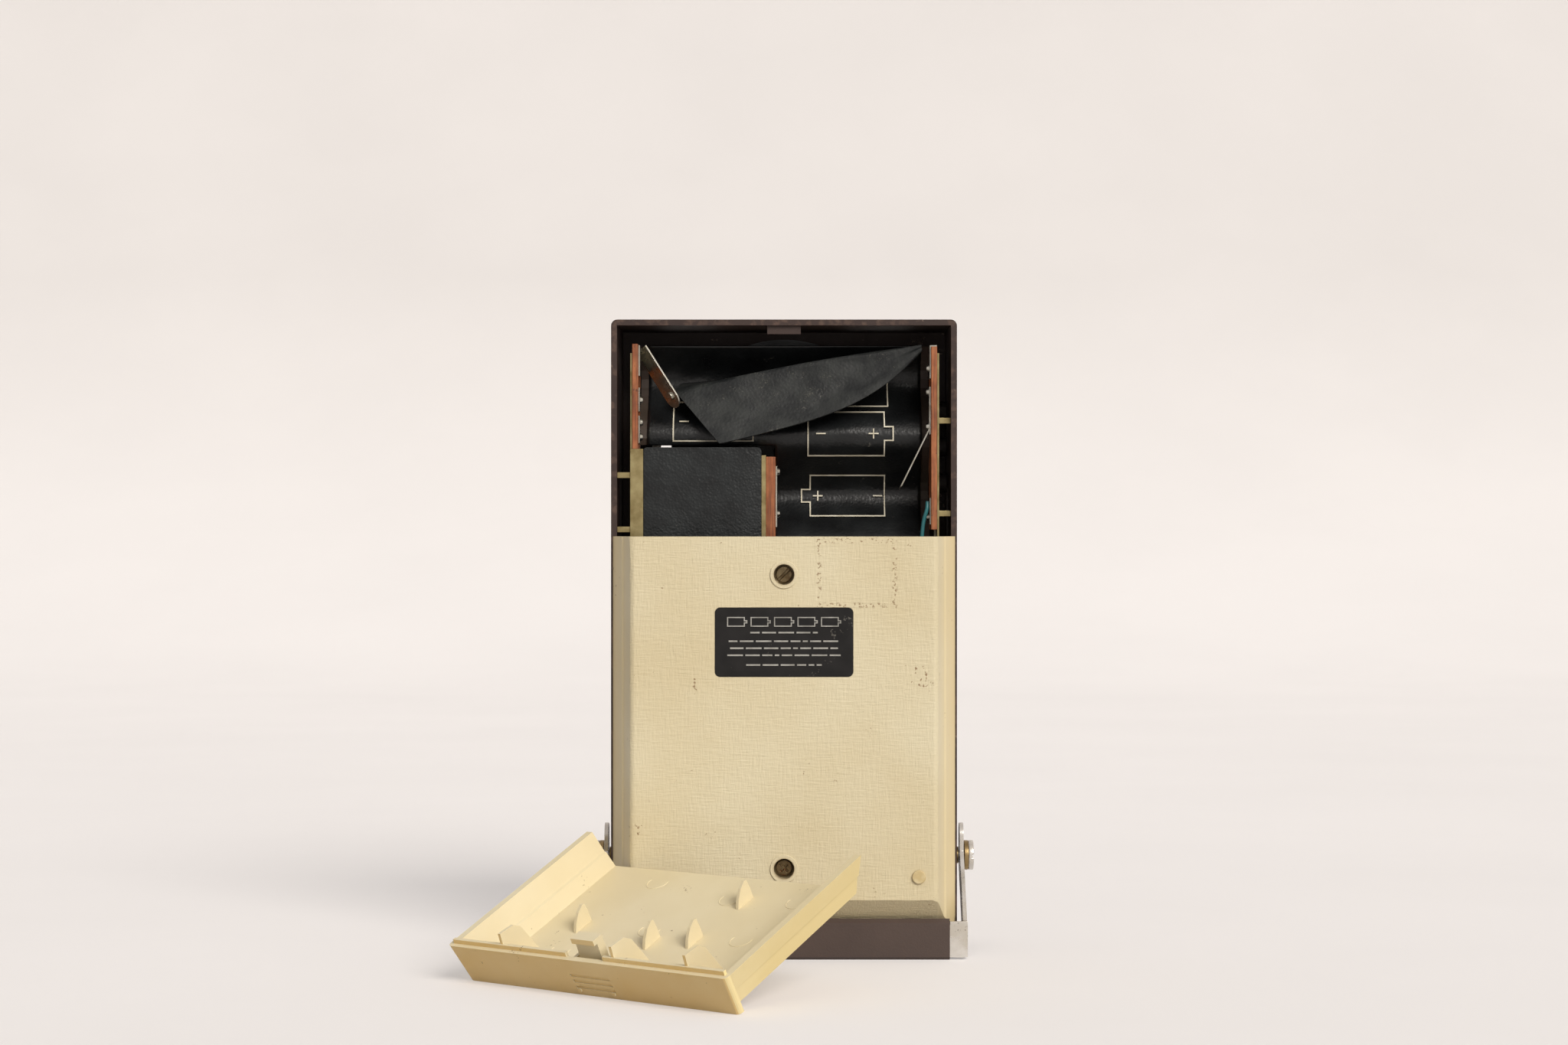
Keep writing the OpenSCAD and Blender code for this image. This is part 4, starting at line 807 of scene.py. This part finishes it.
@dataclass
class BatteryBay:
    """Open battery bay: liner with its printed cells, loose flap, wire, boards and contacts."""

    rim_y: float = across("rear_cover", Y, 1)
    joint_z: float = across("rear_cover", Z, 1)
    bay_high: float = across("front_housing", Z, 1) - across("rear_cover", Z, 1)
    floor_mid: float = -16.5
    row_depth: float = 8.0
    row_z: float = 217.0
    row_pitch: float = 43.0
    liner_left: float = across("battery_liner", X, 0)
    liner_split: float = -3.2
    liner_right: float = across("battery_liner", X, 1)
    liner_low: float = across("battery_liner", Z, 0)
    liner_low_left: float = 192.2
    liner_top: float = across("battery_liner", Z, 1)
    liner_lift: float = 0.45
    crease: float = 0.5
    # Creases are a noise: its waves in a metre across, the slice that is taken, and its waves in a metre up.
    crease_wave: Spot = (60.0, 3.0, 160.0)
    sheet_t: float = 0.4
    line: float = 0.5
    print_lift: float = 0.75
    sign: float = 3.8
    # Each printed cell: its name, lower left and upper right corner, nub, and the places of minus and plus.
    cells: tuple[tuple[str, Pair, Pair, float, float, float], ...] = (
        ("cell_print_middle", (8.9, 187.9), (38.4, 205.1), 3.3, 14.0, 34.0),
        ("cell_print_lower", (9.8, 165.0), (38.8, 181.0), -3.3, 36.0, 13.0),
        ("cell_print_upper", (12.0, 206.9), (39.9, 223.5), -3.3, 36.0, 16.0),
        ("cell_print_left", (-42.3, 193.4), (-11.5, 209.0), 3.3, -38.0, -16.0))
    # Flap: each line by its start and what is added along its length. Heights are shares of the bay.
    flap_t: float = 0.6
    flap_turn: float = 0.3
    flap_sag: float = 1.4
    flap_crease: float = 0.5
    # Waves of the flap's creases along it and down it, and the slice of the noise that is taken.
    flap_wave: Spot = (9.0, 5.0, 1.7)
    root_x: Pair = (-40.0, 91.0)
    root_rise: Pair = (-1.0, 7.0)
    root_lift: float = 1.2
    fold_x: Pair = (-42.0, 94.5)
    fold_deep: Pair = (14.6, -6.6)
    fold_high: Spot = (0.675, 0.2135, 0.02)
    edge_x: Spot = (-24.5, 77.0, 2.0)
    edge_deep: Pair = (3.6, 3.4)
    edge_high: Spot = (0.422, 0.2454, 0.2012)
    case_round: Pair = (3.0, 1.0)
    # The wrap of the case: how far it swells, over which length, and how near an edge it lies flat.
    case_swell: float = 0.35
    case_wave: float = 11.0
    case_flat: float = 6.0
    wire_r: float = 0.75
    # The wire follows the points of its solid's route.
    wire_route: tuple[Spot, ...] = ((54.1, -33.5, 170.5), (53.9, -34.3, 168.0), (52.7, -33.95, 163.6),
                                    (51.8, -33.95, 156.0), (50.4, -33.95, 144.0), (48.0, -33.95, 132.0),
                                    (46.0, -33.95, 122.0))

    def floor_y(self, z: float) -> float:
        """Depth of the liner's face at a height, both in metres."""
        turn = 2 * math.pi * (z / MM - self.row_z) / self.row_pitch
        return (self.floor_mid + self.row_depth * math.cos(turn) - self.liner_lift) * MM

    def share(self, part: float) -> float:
        """Height in metres at a share of the bay's height."""
        return (self.joint_z + part * self.bay_high) * MM

    def build(self) -> None:
        """Make the soft pieces and prints, and dress the solids."""
        self.liner()
        self.prints()
        self.flap()
        self.wire()
        self.case()
        dress("contact_boards", LAMINATE, 0.15)
        dress("contact_plates", NICKEL, 0.12)
        dress("contact_springs", NICKEL, 0.1)
        dress("bay_brackets", OLIVE_SHEET, 0.15)
        dress("bay_floor", FLOOR_MOULDING)

    def liner(self) -> None:
        """Printed liner: one sheet laid over the rows, cut away beside the motor case."""
        wide, high = self.liner_right - self.liner_left, self.liner_top - self.liner_low
        middle = Vector((self.liner_left + wide / 2, 0, self.liner_low + high / 2)) * MM
        sheet = fresh("liner_sheet", bpy.ops.mesh.primitive_grid_add, x_subdivisions=84, y_subdivisions=120,
                      size=1, location=middle, rotation=UPRIGHT)
        sheet.scale = (wide * MM, high * MM, 1)
        settle(sheet)
        pick(sheet, "FACE", lambda m: m.x < self.liner_split * MM and m.z < self.liner_low_left * MM)
        bpy.ops.mesh.delete(type="FACE")
        object_mode()
        wave_x, cut, wave_z = self.crease_wave
        for point in sheet.data.vertices:
            crease = noise.noise(Vector((point.co.x * wave_x, cut, point.co.z * wave_z)))
            point.co.y = self.floor_y(point.co.z) - max(crease, 0) * self.crease * MM
        thicken(sheet, self.sheet_t * MM, -1)
        alone(sheet)
        bpy.ops.object.shade_smooth()
        take(sheet, LINER_CLOTH, BODY, "liner_black", "battery_liner")

    def prints(self) -> None:
        """Cell outlines and their signs, printed on the liner."""
        def face(z: float) -> float:
            """Depth of the print at a height."""
            return self.floor_y(z) - self.print_lift * MM
        for name, low, high, nub, minus_x, plus_x in self.cells:
            level = (low[1] + high[1]) / 2 * MM
            signs = [cell_outline(name, low, high, nub, self.line, face, 5)]
            bars = ((minus_x, self.sign - 0.2, self.line), (plus_x, self.sign, self.line),
                    (plus_x, self.line, self.sign))
            for x, wide, tall in bars:
                spot = Vector((x * MM, face(level), level))
                signs.append(bar_print(name + "_sign", spot, wide * MM, tall * MM, INK))
            for sign in signs[1:]:
                for point in sign.data.vertices:
                    point.co.y += face(point.co.z) - face(level)
            take(join(name, signs), PRINT_INK, BODY, "liner_black")

    def flap(self) -> None:
        """Loose end of the liner, folded forward over itself and sagging to its free edge."""
        sheet = fresh("liner_loose_flap", bpy.ops.mesh.primitive_grid_add, x_subdivisions=56,
                      y_subdivisions=30, size=1, location=(0, 0, 0))
        wave_s, wave_down, cut = self.flap_wave
        for point in sheet.data.vertices:
            s, v = point.co.x + 0.5, point.co.y + 0.5
            bow = math.sin(math.pi * s)
            root_z = (self.row_z + self.root_rise[0] + self.root_rise[1] * s) * MM
            root = Vector(((self.root_x[0] + self.root_x[1] * s) * MM,
                           self.floor_y(root_z) - self.root_lift * MM, root_z))
            start, span, swell = self.fold_high
            fold = Vector(((self.fold_x[0] + self.fold_x[1] * s) * MM,
                           (self.rim_y + self.fold_deep[0] + self.fold_deep[1] * s) * MM,
                           self.share(start + span * s + swell * bow)))
            start, span, rise = self.edge_high
            edge = Vector(((self.edge_x[0] + self.edge_x[1] * s + self.edge_x[2] * bow) * MM,
                           (self.rim_y + self.edge_deep[0] + self.edge_deep[1] * s * s) * MM,
                           self.share(start + span * s + rise * s ** 4)))
            if v < self.flap_turn:
                spot = root.lerp(fold, v / self.flap_turn)
            else:
                down = (v - self.flap_turn) / (1 - self.flap_turn)
                spot = fold.lerp(edge, down)
                crease = noise.noise(Vector((wave_s * s, wave_down * down, cut)))
                spot.y += (self.flap_sag * math.sin(math.pi * down) * bow + self.flap_crease * crease) * MM
            point.co = spot
        whole(sheet)
        bpy.ops.mesh.vertices_smooth(factor=0.5, repeat=2)
        object_mode()
        thicken(sheet, self.flap_t * MM, 0)
        smooth(sheet, 50)
        take(sheet, FLAP_CLOTH, BODY, "liner_black", "liner_flap")

    def case(self) -> None:
        """Case of the motor, wrapped in cloth that rounds its edges and lies a little uneven."""
        low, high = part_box("motor_case")
        wrap = remodel("motor_case", "wrapped_case")
        top, side = self.case_round
        round_off(wrap, lambda m: abs(m.z - high.z) < NEAR and abs(m.y - low.y) < NEAR, top)
        round_off(wrap, lambda m: abs(m.y - low.y) < NEAR and min(m.x - low.x, high.x - m.x) < NEAR, side)
        whole(wrap)
        bpy.ops.mesh.quads_convert_to_tris()
        bpy.ops.mesh.subdivide(number_cuts=3)
        object_mode()
        for point in wrap.data.vertices:
            inner = min(point.co.x - low.x, high.x - point.co.x, high.z - point.co.z)
            loose = min(max(inner, 0) / (self.case_flat * MM), 1)
            swell = noise.noise(point.co / (self.case_wave * MM)) * loose
            if point.co.y < low.y + 2 * NEAR:
                point.co.y += self.case_swell * MM * abs(swell)
        smooth(wrap, 35)
        take(wrap, LEATHER_CLOTH, BODY, "black_leather_cloth", "motor_case")

    def wire(self) -> None:
        """Wire from the lower right contact down to the circuit board."""
        wire = fresh("battery_wire", bpy.ops.curve.primitive_bezier_curve_add, location=(0, 0, 0))
        spline = wire.data.splines[0]
        spline.bezier_points.add(len(self.wire_route) - 2)
        for knot, spot in zip(spline.bezier_points, self.wire_route):
            knot.co = Vector(spot) * MM
            knot.handle_left_type = knot.handle_right_type = "AUTO"
        wire.data.bevel_depth = self.wire_r * MM
        wire.data.bevel_resolution = 5
        wire.data.use_fill_caps = True
        alone(wire)
        bpy.ops.object.convert(target="MESH")
        wire = bpy.context.view_layer.objects.active
        smooth(wire, 40)
        take(wire, TEAL_WIRE, BODY, "wire_teal", "battery_lead")


@dataclass
class BackCover:
    """Cream back cover with its screws, feet and label plate."""

    label_z: float = across("label_plate", Z, 0.5)
    label_y: float = across("label_plate", Y, 0)
    # Long creases: place across the cover, depth and width of the rounding.
    creases: tuple[Spot, ...] = ((57.0, -53.5, 1.8), (59.7, -46.5, 2.0))
    cell_wide: float = 6.6
    cell_high: float = 3.6
    cell_pitch: float = 8.7
    cell_rise: float = 7.6
    cell_shift: float = -0.4
    cell_nub: float = 0.9
    cell_line: float = 0.4
    # Rows of bars: rise over the label's middle and half their length.
    rows: tuple[Pair, ...] = ((3.6, 12.5), (0.4, 20.5), (-2.2, 20.0), (-4.8, 21.0), (-8.4, 14.0))
    bar_high: float = 0.6
    bar_gap: float = 0.9
    bar_sunk: float = 0.02
    # Lengths of the bars: the shortest, the most that is added, and the turn from one bar to the next.
    bar_short: float = 1.6
    bar_more: float = 4.2
    bar_turn: float = 3.7

    def build(self) -> None:
        """Dress the cover and print its label."""
        self.shell()
        dress("case_screws", SCREW_STEEL, 0.15)
        dress("cover_feet", CREAM_PEG, 0.4)
        dress("label_plate", ENAMEL, 0.06)
        self.label_cells()

    def shell(self) -> None:
        """Cover with its long creases rounded as the moulding is."""
        cover = remodel("rear_cover", "rounded_cover")
        for x, y, width in self.creases:
            round_off(cover, lambda m: abs(abs(m.x) - x * MM) < NEAR and abs(m.y - y * MM) < NEAR, width)
        soften(cover, 0.25)
        take(cover, CREAM_COVER, BODY, "cover_plastic", "rear_cover")

    def label_cells(self) -> None:
        """Row of plain cell signs over rows of short bars."""
        parts = []
        for i in range(-2, 3):
            x = i * self.cell_pitch + self.cell_shift
            low = (x - self.cell_wide / 2, self.label_z + self.cell_rise - self.cell_high / 2)
            high = (x + self.cell_wide / 2, self.label_z + self.cell_rise + self.cell_high / 2)
            parts.append(cell_outline("label_cells", low, high, self.cell_nub, self.cell_line,
                                      lambda z: self.label_y * MM, 0))
        for rise, half in self.rows:
            x, i = -half, 0
            while x < half - 1:
                more = abs(math.sin(self.bar_turn * i + rise))
                wide = min(self.bar_short + self.bar_more * more, half - x)
                spot = Vector((x + wide / 2, self.label_y + self.bar_sunk, self.label_z + rise)) * MM
                parts.append(bar_print("label_bar", spot, wide * MM, self.bar_high * MM, 1.2 * INK))
                x, i = x + wide + self.bar_gap, i + 1
        take(join("label_cells", parts), SILVER_INK, BODY, "label_enamel")


@dataclass
class BatteryDoor:
    """Loose battery door, lying with its inside up, with the marks of its moulding tool."""

    # Sizes of the closed door, and the turns and shifts that lay it down, as in the part's source.
    back_y: float = -53.5
    foot_z: float = 235.3
    low_z: float = 157.8
    floor_y: float = -51.5
    lip_x: float = 64.3
    lean: float = 1.8
    tilt: float = 25.5
    turn: float = 39.0
    side: float = -19.0
    gap: float = 31.7
    corner: float = 2.0
    # What counts as outside: bands beside the lip and at the end, and how far a face has to look that way.
    wall_band: float = 8.0
    end_band: float = 1.0
    wall_look: float = 0.4
    back_look: float = 0.5
    ring_r: float = 4.2
    ring_t: float = 0.2
    ring_cut: float = -1.2
    # Rings: place across and along the floor, and the turn of their open side.
    rings: tuple[Spot, ...] = ((-28, 166, 200), (11, 172, 150), (-8, 196, 20), (34, 196, 60),
                               (-36, 214, 300), (40, 170, 240))

    def place(self) -> Matrix:
        """Place of the loose door, from where it sits on the recorder.

        Returns:
            The matrix that carries the door from its closed place to the ground.
        """
        tilt, turn = math.radians(self.tilt), math.radians(self.turn)
        reach = (self.foot_z - self.low_z) * math.cos(tilt)
        ground = Vector((self.side - reach * math.sin(turn),
                         self.back_y - self.gap - reach * math.cos(turn), 0)) * MM
        spin = Matrix.Rotation(-turn, 4, "Z") @ Matrix.Rotation(math.radians(90 + self.tilt), 4, "X")
        foot = Vector((0, self.back_y, self.foot_z)) * MM
        return Matrix.Translation(ground) @ spin @ Matrix.Translation(-foot)

    def build(self) -> None:
        """Shape and dress the door."""
        self.shell()
        dress("door_feet", CREAM_PEG, 0.4)
        self.ejector_rings()

    def shell(self) -> None:
        """Door with its outer edges rounded as the moulding is."""
        door = remodel("battery_door", "rounded_door")
        door.data.transform(self.place().inverted())
        edge_x, back = (self.lip_x - self.lean) * MM, self.back_y * MM
        corner_x, end_z = (self.lip_x - self.lean / 2) * MM, (self.foot_z + 0.5) * MM
        round_off(door, lambda m: abs(abs(m.x) - corner_x) < 6 * NEAR and m.z > end_z, self.corner)
        round_off(door, lambda m: abs(abs(m.x) - edge_x) < NEAR and abs(m.y - back) < NEAR, self.corner)
        soften(door, 0.25)
        outside = [(face.index, abs(face.normal.x) > 0.5) for face in door.data.polygons
                   if self.is_outside(face)]
        door.data.transform(self.place())
        take(door, CREAM_DOOR, "door", "door_plastic", "battery_door")
        door.data.materials.append(SHADED_YELLOWED_DOOR.make())
        door.data.materials.append(LIT_YELLOWED_DOOR.make())
        # Outer faces take the yellowed ABS: the side walls its copy with painted light, the end wall and back
        # its copy with painted shade.
        for index, side in outside:
            door.data.polygons[index].material_index = 2 if side else 1

    def is_outside(self, face: bpy.types.MeshPolygon) -> bool:
        """Tell whether a face of the closed door looks away from the bay.

        Args:
            face: face of the door, in its closed place.

        Returns:
            True for the back, the side walls and the end wall.
        """
        way, spot = face.normal, face.center / MM
        wall = abs(spot.x) > self.lip_x - self.wall_band and way.x * spot.x > 0
        end = spot.z > self.foot_z - self.end_band and way.z > self.wall_look
        return way.y < -self.back_look or wall and abs(way.x) > self.wall_look or end

    def ejector_rings(self) -> None:
        """Raised rings that the ejector pins left on the floor."""
        rings = []
        for x, z, start in self.rings:
            ring = fresh("ejector_rings", bpy.ops.mesh.primitive_torus_add, rotation=UPRIGHT,
                         major_radius=self.ring_r * MM, minor_radius=self.ring_t * MM,
                         major_segments=48, minor_segments=8)
            ring.rotation_euler.y = math.radians(start)
            settle(ring)
            pick(ring, "FACE", lambda m: True)
            bpy.ops.mesh.bisect(plane_co=(0, 0, self.ring_cut * MM), plane_no=(0, 0, 1), clear_inner=True,
                                use_fill=True)
            object_mode()
            ring.location = Vector((x, self.floor_y, z)) * MM
            settle(ring)
            rings.append(ring)
        marked = join("ejector_rings", rings)
        marked.data.transform(self.place())
        take(marked, CREAM_DOOR, "door", "door_plastic")


@dataclass
class Handle:
    """Folded carrying handle with its pivots."""

    def build(self) -> None:
        """Dress the handle."""
        dress("handle_frame", CHROME, 0.3)
        dress("handle_grip", GRIP_MOULDING, 0.5)
        dress("handle_screws", CHROME, 0.4)
        dress("handle_washers", BRASS, 0.2)


@dataclass
class FrontPanel:
    """Housing and all that is on its front: grille, lid, control strip and keys."""

    keys: tuple[Symbol, ...] = (Symbol.BARS, Symbol.BLOCK, Symbol.AHEAD, Symbol.RUN, Symbol.BACK,
                                Symbol.DOT)
    key_face: float = across("key_record", Y, 1)
    key_pitch: float = 18.0
    sign_z: float = 33.2
    sign: float = 3.4
    sign_sunk: float = 0.02
    # Marks in pairs: their step as a share of the sign, and how narrow the upright bars are.
    sign_step: float = 0.8
    sign_narrow: float = 0.4
    strip_face: float = across("control_strip", Y, 1)
    slide_z: float = across("volume_slider", Z, 0.5)
    slides: Pair = (across("volume_slider", X, 0.5), across("tone_slider", X, 0.5))
    tick_pitch: float = 2.4
    tick_rise: float = 3.4
    tick_wide: float = 0.35
    tick_high: Pair = (1.8, 1.1)
    print_sunk: float = 0.01
    meter_x: float = across("level_meter", X, 0.5)
    meter_pivot: float = 45.3
    card_y: float = 4.12
    card_t: float = 0.15
    card: Pair = (19.2, 8.8)
    # Fan of the meter: first lean, step, radius, and how far it is lowered.
    fan: tuple[float, float, float, float] = (-32.0, 6.4, 6.6, 0.6)
    fan_line: Pair = (0.22, 1.3)
    fan_count: int = 11

    def build(self) -> None:
        """Dress the front and print its signs."""
        dress("front_housing", BROWN_MOULDING, 0.5)
        dress("cassette_lid", BROWN_MOULDING, 0.4)
        dress("lid_window", WINDOW)
        dress("lid_pin", BRIGHT_STEEL)
        dress("speaker_grille", TRIM, 0.2)
        dress("control_strip", TRIM, 0.15)
        dress("volume_slider", BLACK_KNOB, 0.4)
        dress("tone_slider", BLACK_KNOB, 0.4)
        dress("level_meter", DARK_MOULDING, 0.2)
        dress("meter_window", WINDOW)
        dress("meter_needle", NEEDLE)
        dress("microphone", MOTOR_STEEL, 0.2)
        dress("jack_sockets", DARK_MOULDING, 0.15)
        for i, sign in enumerate(self.keys):
            self.key(i, sign)
        self.ticks()
        self.meter_scale()

    def key(self, place: int, sign: Symbol) -> None:
        """Dress one key and print its sign.

        Args:
            place: number of the key from -X.
            sign: mark on the key.
        """
        red = sign is Symbol.DOT
        dress("key_" + sign.value, RED_KEY if red else CREAM_KEY, 0.5)
        x = (place - (len(self.keys) - 1) / 2) * self.key_pitch
        step = self.sign * self.sign_step
        shapes = {Symbol.DOT: [(32, 0, 0)], Symbol.BACK: [(3, -step / 2, 90), (3, step / 2, 90)],
                  Symbol.RUN: [(3, 0, -90)], Symbol.AHEAD: [(3, -step / 2, -90), (3, step / 2, -90)],
                  Symbol.BLOCK: [(4, 0, 45)], Symbol.BARS: [(4, -step / 2, 45), (4, step / 2, 45)]}[sign]
        parts = []
        for corners, off, turned in shapes:
            mark = fresh("sign_" + sign.value, bpy.ops.mesh.primitive_circle_add, vertices=corners,
                         radius=self.sign / 2 * MM, fill_type="NGON", rotation=UPRIGHT)
            mark.rotation_euler.y = math.radians(turned)
            settle(mark)
            if sign is Symbol.BARS:
                mark.scale = (self.sign_narrow, 1, 1)
            mark.location = Vector((x - off, self.key_face - self.sign_sunk, self.sign_z)) * MM
            settle(mark)
            raise_print(mark, 2 * INK)
            parts.append(mark)
        ink, slot = (PRINT_INK, "record_red") if red else (DARK_INK, "key_cream")
        take(join("sign_" + sign.value, parts), ink, sign.value + "_key", slot)

    def ticks(self) -> None:
        """Scale lines above each slide."""
        parts = []
        for middle in self.slides:
            for i in range(-4, 5):
                tall = self.tick_high[0] if i % 4 == 0 else self.tick_high[1]
                spot = Vector((middle + i * self.tick_pitch, self.strip_face - self.print_sunk,
                               self.slide_z + self.tick_rise)) * MM
                parts.append(bar_print("slide_scales", spot, self.tick_wide * MM, tall * MM, -INK))
        take(join("slide_scales", parts), DARK_INK, BODY, "trim_aluminium")

    def meter_scale(self) -> None:
        """Pale card behind the needle, with a fan of scale lines."""
        spot = Vector((self.meter_x, self.card_y, self.slide_z)) * MM
        card = bar_print("meter_card", spot, self.card[0] * MM, self.card[1] * MM, -self.card_t * MM)
        take(card, PRINT_INK, BODY, "well_plastic")
        first, step, radius, sunk = self.fan
        wide, tall = self.fan_line
        lines = []
        card_face = self.card_y + self.card_t - self.print_sunk
        for i in range(self.fan_count):
            lean = math.radians(first + step * i)
            line = bar_print("meter_lines", Vector(), wide * MM, tall * MM, -1.2 * INK)
            spot = Vector((self.meter_x + radius * math.sin(lean), card_face,
                           self.meter_pivot + radius * math.cos(lean) - sunk))
            line.data.transform(Matrix.Translation(spot * MM) @ Matrix.Rotation(lean, 4, "Y"))
            lines.append(line)
        take(join("meter_lines", lines), DARK_INK, BODY, "well_plastic")


@dataclass
class Deck:
    """Tape deck and electronics inside the housing."""

    def build(self) -> None:
        """Dress the deck."""
        looks = {"chassis_plate": DECK_STEEL, "chassis_pillars": DECK_STEEL, "circuit_board": BOARD,
                 "board_parts": COMPONENT, "drive_motor": MOTOR_STEEL, "motor_pulley": BRASS,
                 "drive_belt": RUBBER, "flywheel": FLYWHEEL_METAL, "capstan_shaft": BRIGHT_STEEL,
                 "capstan_bearing": BRASS,
                 "supply_spindle": PALE_MOULDING, "takeup_spindle": PALE_MOULDING, "head_plate": DECK_STEEL,
                 "tape_heads": BRIGHT_STEEL, "pinch_arm": DECK_STEEL, "pinch_roller": RUBBER,
                 "key_shaft": BRIGHT_STEEL, "key_springs": BRIGHT_STEEL, "speaker_frame": SPEAKER_PAINT,
                 "speaker_cone": PAPER_CONE}
        for node, finish in looks.items():
            dress(node, finish)
        dress("cassette_well", DARK_MOULDING, 0.3)


@dataclass
class Studio:
    """Pale seamless backdrop, soft light and the camera of the photograph."""

    eye: Spot = (0.0, -1.2035, 0.1627)
    focal_px: float = 4053.0
    frame_px: float = 2048.0
    sensor: float = 36.0
    floor_half: float = 6.0
    wall_y: float = 3.6
    wall_high: float = 5.0
    sweep: float = 1.8
    # The paper's glow for the camera, from the floor up to the height where it is the wall's.
    lift: float = 0.36
    wall_lift: float = 0.14
    lift_high: float = 0.5
    glow: str = "#ece8e6"
    pale: str = "#ded6d1"
    # Each lamp: where its light comes from, its strength and its tint.
    key_light: tuple[Spot, float, str] = ((1.75, -3.05, 2.25), 2.95, "#fffaf3")
    fill_light: tuple[Spot, float, str] = ((-2.4, -1.8, 1.2), 0.08, "#f3f6ff")
    world_tint: str = "#fbf9f8"
    world_light: float = 0.36
    softness: float = 32.0

    def build(self) -> None:
        """Set up backdrop, lamps, world and camera."""
        self.backdrop()
        self.lamps()
        self.camera()
        bpy.context.scene.view_settings.view_transform = "Standard"

    def backdrop(self) -> None:
        """Paper that curves from the floor up to the wall."""
        paper = fresh("backdrop", bpy.ops.mesh.primitive_plane_add, size=2 * self.floor_half,
                      location=(0, self.wall_y - self.floor_half, 0))
        settle(paper)
        pick(paper, "EDGE", lambda m: m.y > self.wall_y - 0.01)
        bpy.ops.mesh.extrude_region_move(TRANSFORM_OT_translate={"value": (0, 0, self.wall_high)})
        pick(paper, "EDGE", lambda m: abs(m.y - self.wall_y) < 0.01 and m.z < 0.01)
        bpy.ops.mesh.bevel(offset=self.sweep, segments=32, affect="EDGES")
        object_mode()
        bpy.ops.object.shade_smooth()
        material = BACKDROP_PAPER.make()
        tree = material.node_tree
        shader = tree.nodes["Principled BSDF"]
        place = add(tree, "ShaderNodeTexCoord").outputs["Object"]
        rise = add(tree, "ShaderNodeSeparateXYZ", {0: place}).outputs[Z]
        fade = {0: rise, 1: 0.0, 2: self.lift_high, 3: self.lift, 4: self.wall_lift}
        lift = add(tree, "ShaderNodeMapRange", fade).outputs[0]
        glow = add(tree, "ShaderNodeMath", {0: self.seen(tree), 1: lift}, operation="MULTIPLY")
        tree.links.new(glow.outputs[0], shader.inputs["Emission Strength"])
        shader.inputs["Emission Color"].default_value = linear(self.glow)
        paper.data.materials.append(material)

    def lamp(self, name: str, way: Spot, strength: float, tint: str) -> None:
        """Add one soft far lamp, which lights the whole floor evenly.

        Args:
            name: name of the lamp.
            way: where the light comes from.
            strength: light on a face that looks at the lamp, in watts a square metre.
            tint: colour of its light.
        """
        bpy.ops.object.light_add(type="SUN", location=way)
        lamp = bpy.context.view_layer.objects.active
        lamp.name = name
        lamp.data.angle = math.radians(self.softness)
        lamp.data.energy = strength
        lamp.data.color = linear(tint)[:3]
        lamp.rotation_euler = Vector(way).to_track_quat("Z", "Y").to_euler()

    def lamps(self) -> None:
        """Key lamp from the upper right, weak fill from the left, and an even world."""
        self.lamp("key_lamp", *self.key_light)
        self.lamp("fill_lamp", *self.fill_light)
        world = bpy.data.worlds.new("studio")
        world.use_nodes = True
        tree = world.node_tree
        light = tree.nodes["Background"]
        light.inputs["Color"].default_value = linear(self.world_tint)
        light.inputs["Strength"].default_value = self.world_light
        pale = add(tree, "ShaderNodeBackground", {"Color": linear(self.pale), "Strength": 1.0}).outputs[0]
        shown = add(tree, "ShaderNodeMixShader", {0: self.seen(tree), 1: light.outputs[0], 2: pale})
        tree.links.new(shown.outputs[0], tree.nodes["World Output"].inputs["Surface"])
        bpy.context.scene.world = world

    def seen(self, tree: Tree) -> Socket:
        """Pick the rays that show the background: to the camera, in a mirror or through glass.

        Args:
            tree: node tree of the paper or the world.

        Returns:
            1 for such a ray, else 0.
        """
        path = add(tree, "ShaderNodeLightPath").outputs
        seen = path["Is Camera Ray"]
        for ray in ("Is Glossy Ray", "Is Transmission Ray"):
            seen = add(tree, "ShaderNodeMath", {0: seen, 1: path[ray]}, operation="MAXIMUM").outputs[0]
        return seen

    def camera(self) -> None:
        """Level camera at the height and distance of the photograph."""
        bpy.ops.object.camera_add(location=self.eye, rotation=(math.pi / 2, 0, 0))
        cam = bpy.context.view_layer.objects.active
        cam.data.sensor_width = self.sensor
        cam.data.lens = self.sensor * self.focal_px / self.frame_px
        cam.data.clip_start = 0.01
        cam.data.clip_end = 50
        bpy.context.scene.camera = cam


def main() -> None:
    """Build the studio and the recorder."""
    logging.basicConfig(level=logging.INFO, format="%(name)s: %(message)s")
    for part in (Studio(), BatteryBay(), BackCover(), BatteryDoor(), Handle(), FrontPanel(), Deck()):
        LOG.info("building %s", type(part).__name__)
        part.build()


if __name__ == "__main__":
    main()
